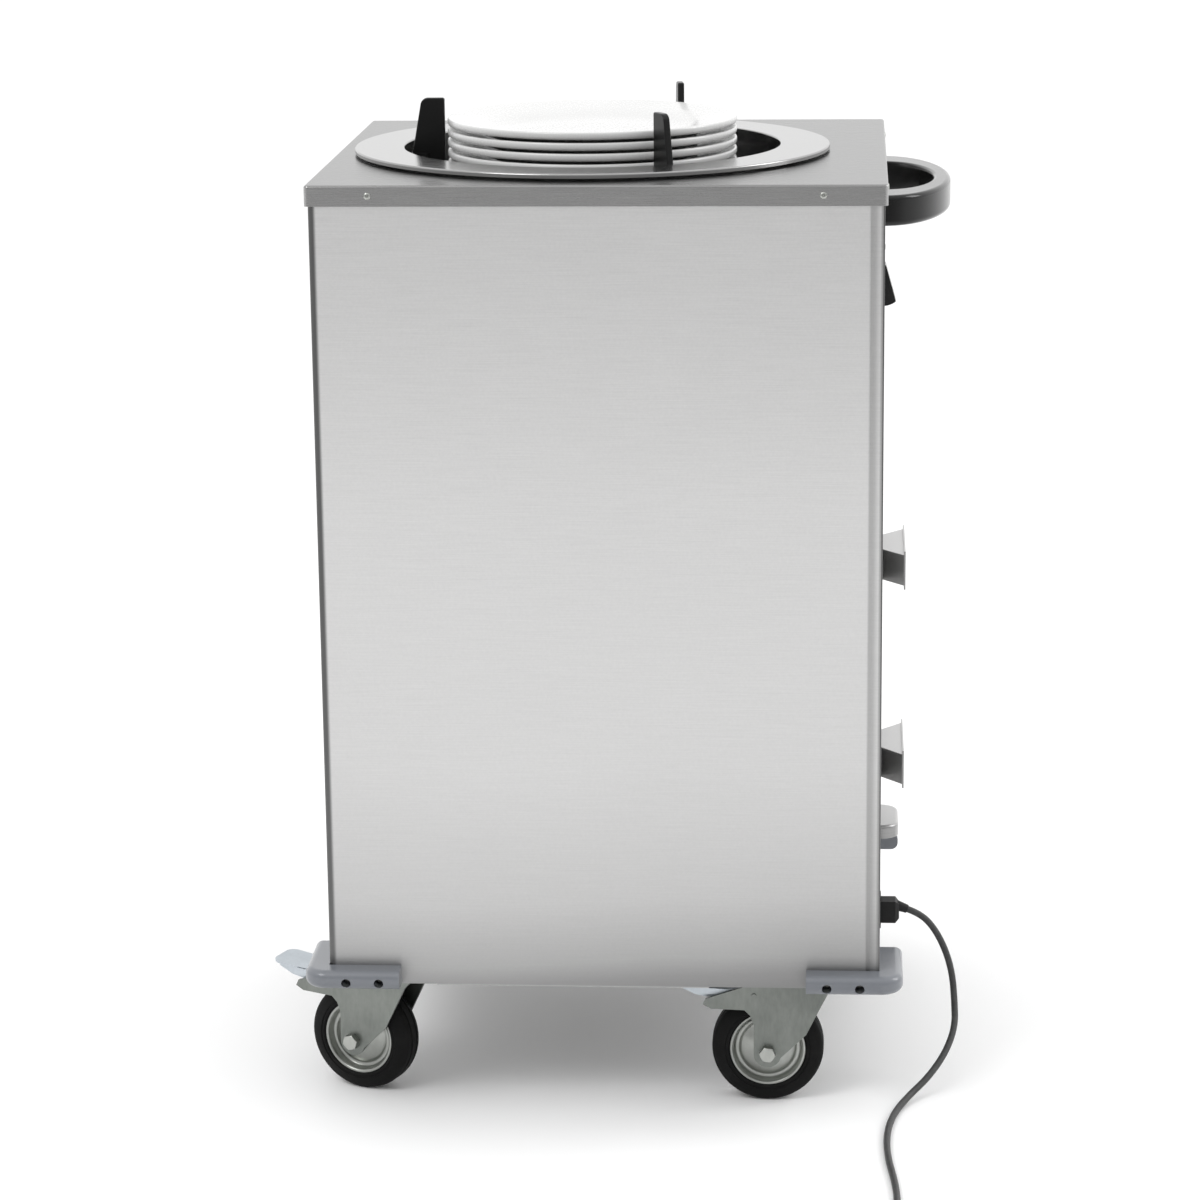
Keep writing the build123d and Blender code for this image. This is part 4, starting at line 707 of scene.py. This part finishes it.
# The matrix that lays a piece turned about Z on this caster's axle.
def wheelPlace(caster):
    joint = joints["roll_" + caster]
    axle = Vector(joint["axis"]).normalized()
    return Matrix.Translation(joint["pos_m"]) @ axle.to_track_quat("Z", "Y").to_matrix().to_4x4()


# Round the tyre's section: side, shoulder, tread with two grooves, and back.
def tyreOutline(sizes):
    outer, half, inner = sizes["radius"], sizes["width"] / 2, sizes["rim"]
    side = [(inner, half - 0.0016), (inner + 0.0015, half - 0.0002), (inner + 0.004, half - 0.0012),
            (outer - 0.012, half), (outer - 0.0012, half - 0.0045), (outer, half - 0.010)]
    curve = rounded(side, [0.0008, 0.001, 0.004, 0.007], 6)
    groove = sizes["groove"]
    tread = [(outer, 0.0060), (outer - groove, 0.0054), (outer - groove, 0.0038), (outer, 0.0032)]
    upper = curve + tread
    lower = [(radius, -height) for radius, height in reversed(upper)]
    return upper + lower + [upper[0]]


# Round the wheel centre's section: rolled ring, dished disc and hub on each side.
def rimOutline(sizes):
    edge, hub, half, bore = sizes["rim"], sizes["hub"], sizes["hubHalf"], sizes["bore"]
    ring = sizes["width"] / 2 - 0.001
    corners = [(edge, 0.004), (edge, ring - 0.0006), (edge - 0.0014, ring), (edge - 0.0032, ring - 0.0012),
               (edge - 0.0042, ring - 0.0052), (edge - 0.0052, 0.0075), (0.0265, 0.0072), (0.0245, 0.0090),
               (0.016, 0.0130), (hub + 0.0015, 0.0142), (hub, 0.0158), (hub, half - 0.0008),
               (hub - 0.0008, half), (bore, half)]
    radii = [0.0008, 0.0014, 0.0018, 0.002, 0.002, 0.0012, 0.0015, 0.005, 0.002, 0.0014, 0.0005,
             0.0005]
    upper = rounded(corners, radii, 4)
    lower = [(radius, -height) for radius, height in reversed(upper)]
    return upper + lower + [upper[0]]


for caster in casters:
    place = wheelPlace(caster)
    mesh = bmesh.new()
    spin(mesh, tyreOutline(wheelSizes), place, wheelSizes["steps"])
    meshPiece("tyre." + caster, mesh, "tyre", "wheel_" + caster, "tyre_black", "tyre_" + caster,
              smooth=40)
    mesh = bmesh.new()
    spin(mesh, rimOutline(wheelSizes), place, wheelSizes["steps"])
    meshPiece("rim." + caster, mesh, "rim", "wheel_" + caster, "zinc_plated_steel", "rim_" + caster,
              smooth=50)
print("wheels made")


springSizes = {
    "radius": 0.0061,
    "wire": 0.0009,
    "turns": 80,
    "stepsPerTurn": 14,
    "sides": 6,
    "top": 0.814,
    "centreX": -0.0175,
    "circle": 0.158,
    "angles": {"A": 118.0, "B": -2.0, "C": -122.0},
}


# A closed-wound tension spring: a helix of wire from the lift springs' foot height up to a fixed top.
def makeSpring(name, centre, foot, sizes):
    mesh = bmesh.new()
    steps = sizes["turns"] * sizes["stepsPerTurn"]
    inset = 2 * sizes["wire"]
    low, high = foot + inset, sizes["top"] - inset
    rings = []
    for step in range(steps + 1):
        share = step / steps
        angle = 2 * math.pi * sizes["turns"] * share
        outward = Vector((math.cos(angle), math.sin(angle), 0))
        spot = Vector((*centre, low + (high - low) * share)) + outward * sizes["radius"]
        ring = []
        for side in range(sizes["sides"]):
            turn = 2 * math.pi * side / sizes["sides"]
            offset = outward * math.cos(turn) + Vector((0, 0, 1)) * math.sin(turn)
            ring.append(mesh.verts.new(spot + offset * sizes["wire"]))
        rings.append(ring)
    skin(mesh, rings)
    bmesh.ops.recalc_face_normals(mesh, faces=mesh.faces)
    data = bpy.data.meshes.new(name)
    mesh.to_mesh(data)
    mesh.free()
    data.shade_smooth()
    data.materials.append(finishes["spring"])
    piece = bpy.data.objects.new(name, data)
    bpy.context.scene.collection.objects.link(piece)
    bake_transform(piece)
    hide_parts("lift_springs")


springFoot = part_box("lift_springs")[0].z
for name, angle in springSizes["angles"].items():
    x = springSizes["centreX"] + springSizes["circle"] * math.cos(math.radians(angle))
    y = springSizes["circle"] * math.sin(math.radians(angle))
    makeSpring("liftSpring" + name, (x, y), springFoot, springSizes)
print("springs made")


# A node group that sets a small part on every point it is given, facing the way the point says,
# each turned by a random angle.
def fastenerTree():
    tree = bpy.data.node_groups.new("fasteners", "GeometryNodeTree")
    for name, kind in (("Geometry", "Geometry"), ("Shape", "Object"), ("Finish", "Material"),
                       ("Size", "Float"), ("Turn Spread", "Float"), ("Seed", "Int")):
        tree.interface.new_socket(name, in_out="INPUT", socket_type="NodeSocket" + kind)
    tree.interface.new_socket("Geometry", in_out="OUTPUT", socket_type="NodeSocketGeometry")

    def add(kind, settings, inputs):
        node = tree.nodes.new(kind)
        for key, value in settings.items():
            setattr(node, key, value)
        for key, value in inputs.items():
            if isinstance(value, bpy.types.NodeSocket):
                tree.links.new(value, node.inputs[key])
            else:
                node.inputs[key].default_value = value
        return node

    given = tree.nodes.new("NodeGroupInput").outputs
    shape = add("GeometryNodeObjectInfo", {"transform_space": "ORIGINAL"}, {"Object": given["Shape"]})
    facing = add("GeometryNodeInputNamedAttribute", {"data_type": "FLOAT_VECTOR"}, {"Name": "facing"})
    aimed = add("FunctionNodeAlignRotationToVector", {"axis": "Z"}, {"Vector": facing.outputs["Attribute"]})
    turn = add("FunctionNodeRandomValue", {"data_type": "FLOAT"}, {"Seed": given["Seed"]})
    scaled = add("ShaderNodeMath", {"operation": "MULTIPLY"}, {0: turn.outputs[1], 1: given["Turn Spread"]})
    about = add("ShaderNodeCombineXYZ", {}, {2: scaled.outputs[0]})
    own = add("FunctionNodeEulerToRotation", {}, {0: about.outputs[0]})
    turned = add("FunctionNodeRotateRotation", {"rotation_space": "LOCAL"},
                 {"Rotation": aimed.outputs[0], "Rotate By": own.outputs[0]})
    copies = add("GeometryNodeInstanceOnPoints", {},
                 {"Points": given["Geometry"], "Instance": shape.outputs["Geometry"],
                  "Rotation": turned.outputs[0], "Scale": given["Size"]})
    real = add("GeometryNodeRealizeInstances", {}, {"Geometry": copies.outputs[0]})
    finished = add("GeometryNodeSetMaterial", {}, {"Geometry": real.outputs[0], "Material": given["Finish"]})
    tree.links.new(finished.outputs[0], tree.nodes.new("NodeGroupOutput").inputs[0])
    return tree


fasteners = fastenerTree()


# Runs the node group over the places, (point, direction) pairs, and keeps the mesh.
def setFasteners(name, shape, places, finish, body, replaced, spread=6.28, seed=4):
    points = bpy.data.meshes.new(name + "Points")
    points.from_pydata([spot for spot, facing in places], [], [])
    directions = points.attributes.new("facing", "FLOAT_VECTOR", "POINT")
    for item, (spot, facing) in zip(directions.data, places):
        item.vector = facing
    carrier = bpy.data.objects.new(name + "Points", points)
    bpy.context.scene.collection.objects.link(carrier)
    modifier = carrier.modifiers.new("fasteners", "NODES")
    modifier.node_group = fasteners
    values = {"Shape": shape, "Finish": finishes[finish], "Size": 1.0, "Turn Spread": spread, "Seed": seed}
    for item in fasteners.interface.items_tree:
        if item.in_out == "INPUT" and item.name in values:
            modifier[item.identifier] = values[item.name]
    graph = bpy.context.evaluated_depsgraph_get()
    data = bpy.data.meshes.new_from_object(carrier.evaluated_get(graph), depsgraph=graph)
    bpy.data.objects.remove(carrier)
    if "facing" in data.attributes:
        data.attributes.remove(data.attributes["facing"])
    data.name = name
    piece = bpy.data.objects.new(name, data)
    bpy.context.scene.collection.objects.link(piece)
    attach(piece, body)
    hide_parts(replaced)


# A small part that the node group copies. It isn't linked to the scene itself.
def partShape(name, mesh, smooth=35.0):
    bmesh.ops.remove_doubles(mesh, verts=mesh.verts, dist=mergeDistance)
    bmesh.ops.recalc_face_normals(mesh, faces=mesh.faces)
    data = bpy.data.meshes.new(name)
    mesh.to_mesh(data)
    mesh.free()
    data.shade_smooth()
    data.set_sharp_from_angle(angle=math.radians(smooth))
    return bpy.data.objects.new(name, data)


# A set blind rivet: domed head round its mandrel's broken end, stem and tail.
def rivetShape(sizes):
    head, high, bore, stem = sizes["head"], sizes["high"], sizes["bore"], sizes["stem"]
    grip, tail, flare = sizes["grip"], sizes["tail"], sizes["flare"]
    outline = [(0, high * 0.25), (bore * 0.8, high * 0.3), (bore, high * 0.2), (bore, high * 0.8),
               (bore * 1.25, high), (bore * 1.9, high), (head * 0.8, high * 0.75), (head * 0.97, high * 0.3),
               (head, 0), (stem, 0), (stem, -grip), (flare, -grip - tail * 0.3), (flare, -grip - tail * 0.8),
               (stem, -grip - tail), (0, -grip - tail)]
    mesh = bmesh.new()
    spin(mesh, outline, Matrix.Identity(4), 32)
    return partShape("rivet", mesh)


# A pan-head screw with a cross recess.
def screwShape(sizes):
    head, high, shank, long = sizes["head"], sizes["high"], sizes["shank"], sizes["long"]
    flat = head * sizes["flat"]
    mesh = bmesh.new()
    outline = [(0, -long), (shank * 0.5, -long), (shank, -long + shank), (shank, 0), (head, 0),
               (head, high * 0.35), (head * 0.96, high * 0.62), (head * 0.84, high * 0.88), (flat, high)]
    spin(mesh, outline, Matrix.Identity(4), 40)
    bmesh.ops.remove_doubles(mesh, verts=mesh.verts, dist=mergeDistance)
    rim = [edge for edge in mesh.edges if edge.is_boundary]
    half, reach, deep = sizes["slot"] / 2, flat * 0.86, sizes["deep"]
    cross = []
    for quarter in range(4):
        turn = Matrix.Rotation(math.pi / 2 * quarter, 3, "Z")
        for corner in ((half, half), (reach, half), (reach, -half)):
            cross.append(turn @ Vector((*corner, 0)))
    ordered = sorted(cross, key=lambda spot: math.atan2(spot.y, spot.x))
    upper = [mesh.verts.new((spot.x, spot.y, high)) for spot in ordered]
    lower = [mesh.verts.new((spot.x * 0.75, spot.y * 0.75, high - deep)) for spot in ordered]
    edges = []
    for i in range(len(upper)):
        j = (i + 1) % len(upper)
        edges.append(mesh.edges.new((upper[i], upper[j])))
        mesh.faces.new((upper[i], upper[j], lower[j], lower[i]))
    mesh.faces.new(list(reversed(lower)))
    bmesh.ops.triangle_fill(mesh, edges=rim + edges, use_beauty=True)
    return partShape("crossScrew", mesh, 30)


# A chamfered hexagon with a washer face, on a round shank.
def hexShape(name, sizes):
    half, high, shank = sizes["across"] / 2, sizes["high"], sizes["shank"]
    count, crown = sizes["steps"], half * sizes["crown"]
    rings = {key: [] for key in ("foot", "body", "edge", "top")}
    mesh = bmesh.new()
    for i in range(count):
        angle = 2 * math.pi * i / count
        face = (angle + math.pi / 6) % (math.pi / 3) - math.pi / 6
        reach = half / math.cos(face)
        fall = max(0.0, reach - crown) * 0.55
        for key, radius, level in (("foot", min(reach, half), 0.0), ("body", reach, 0.0006 + fall * 0.5),
                                   ("edge", reach, high - fall), ("top", crown, high)):
            rings[key].append(mesh.verts.new((radius * math.cos(angle), radius * math.sin(angle), level)))
    skin(mesh, [rings["foot"], rings["body"], rings["edge"], rings["top"]])
    low, top = -sizes["seat"], -0.0001
    spin(mesh, [(0, low), (shank, low), (shank, top), (0, top)], Matrix.Identity(4), 32)
    return partShape(name, mesh, 25)


rivetSizes = {"head": 0.0032, "high": 0.0012, "bore": 0.0009, "stem": 0.0020, "grip": 0.0040,
              "tail": 0.0030, "flare": 0.0027}
rivetPlaces = {"x": 0.195, "y": 0.185, "z": 0.834, "sideX": 0.250, "sideY": 0.240}
screwSizes = {"head": 0.0039, "high": 0.0026, "shank": 0.0021, "long": 0.0110, "flat": 0.62,
              "slot": 0.0007, "deep": 0.0012}
screwPlaces = {"x": (0.2005, 0.2299), "y": (0.1905, 0.2199), "z": 0.12796, "seatX": 0.2525,
               "seatY": 0.2425}
hexSizes = {"across": 0.013, "high": 0.0065, "shank": 0.0040, "seat": 0.0249, "crown": 0.96,
            "steps": 72}


def deckRivets(places):
    spots = []
    for side in (-1, 1):
        for along in (-1, 1):
            spots.append(((along * places["x"], side * places["sideY"], places["z"]), (0, side, 0)))
            spots.append(((side * places["sideX"], along * places["y"], places["z"]), (side, 0, 0)))
    return spots


def bumperScrewSpots(places):
    spots = []
    for side in (-1, 1):
        for along in (-1, 1):
            for x in places["x"]:
                spots.append(((along * x, side * places["seatY"], places["z"]), (0, side, 0)))
            for y in places["y"]:
                spots.append(((side * places["seatX"], along * y, places["z"]), (side, 0, 0)))
    return spots


setFasteners("deckRivets", rivetShape(rivetSizes), deckRivets(rivetPlaces), "bolt", "cabinet",
             "blind_rivets")
setFasteners("bumperScrews", screwShape(screwSizes), bumperScrewSpots(screwPlaces), "bolt", "cabinet",
             "bumper_screws")
hexagon = hexShape("hexBolt", hexSizes)
for caster in casters:
    joint = joints["roll_" + caster]
    axle, middle = Vector(joint["axis"]).normalized(), Vector(joint["pos_m"])
    ends = [(middle + axle * hexSizes["seat"] * side, axle * side) for side in (-1, 1)]
    setFasteners("axleBolt." + caster, hexagon, ends, "bolt", "caster_" + caster, "axle_" + caster,
                 spread=0.9, seed=7)
print("fasteners made")


studio = {
    "floorSize": 60.0,
    "floorShade": 0.95,
    "floorFarShade": 0.30,
    "floorCloud": 0.02,
    "dimFrom": -1.6,
    "dimTo": -5.5,
    "worldDim": 0.42,
    "worldBright": 1.19,
    "worldUp": 0.9,
    "worldBehind": 0.6,
    "worldLevel": 0.45,
    "softboxes": {
        "keyLight": {"place": (-2.2, -2.6, 3.6), "aim": (0, 0, 0.5), "size": (1.8, 1.8), "watts": 53},
        "rimLight": {"place": (3.4, 0.6, 2.6), "aim": (0.2, 0, 0.6), "size": (1.2, 2.0), "watts": 40},
    },
}


# A pale floor, painted darker far in front, behind the camera: painted shade that the steel shows as a
# darker reflection.
def makeFloor(setup):
    mesh = bmesh.new()
    bmesh.ops.create_grid(mesh, x_segments=1, y_segments=1, size=setup["floorSize"] / 2)
    data = bpy.data.meshes.new("studioFloor")
    mesh.to_mesh(data)
    mesh.free()
    finish = Finish("studioFloor", Roughness=0.8, Specular_IOR_Level=0.1)
    # Painted shade: the floor's colour darkens with distance in front.
    far = finish.axis("Object", "Y") / (setup["dimTo"] - setup["dimFrom"])
    start = setup["dimFrom"] / (setup["dimTo"] - setup["dimFrom"])
    tone = finish.noise((0.6, 0.6, 0.6), 2.0, 0.5) * setup["floorCloud"]
    finish.feed(Base_Color=finish.shade(far - start + tone, (0.0, grey(setup["floorShade"])),
                                        (1.0, grey(setup["floorFarShade"]))))
    data.materials.append(finish.material)
    floor = bpy.data.objects.new("studioFloor", data)
    bpy.context.scene.collection.objects.link(floor)


# Soft light, brightest from above and behind, dimmer from below and from the camera's side.
def makeWorld(setup):
    world = bpy.data.worlds.new("studioWorld")
    world.use_nodes = True
    graph = Graph(world.node_tree)
    up, behind = graph.axis("Generated", "Z"), graph.axis("Generated", "Y")
    lift = up * setup["worldUp"] + behind * setup["worldBehind"] + setup["worldLevel"]
    colour = graph.shade(lift, (0.0, grey(setup["worldDim"])), (1.0, grey(1.0)))
    background = graph.tree.nodes["Background"]
    graph.plug(background.inputs["Color"], colour)
    background.inputs["Strength"].default_value = setup["worldBright"]
    bpy.context.scene.world = world


def makeSoftbox(name, box):
    data = bpy.data.lights.new(name, "AREA")
    data.shape = "RECTANGLE"
    data.size, data.size_y = box["size"]
    data.energy = box["watts"]
    light = bpy.data.objects.new(name, data)
    light.location = box["place"]
    aim = Vector(box["aim"]) - Vector(box["place"])
    light.rotation_euler = aim.to_track_quat("-Z", "Y").to_euler()
    bpy.context.scene.collection.objects.link(light)


makeFloor(studio)
makeWorld(studio)
for name, box in studio["softboxes"].items():
    makeSoftbox(name, box)
print("studio set")
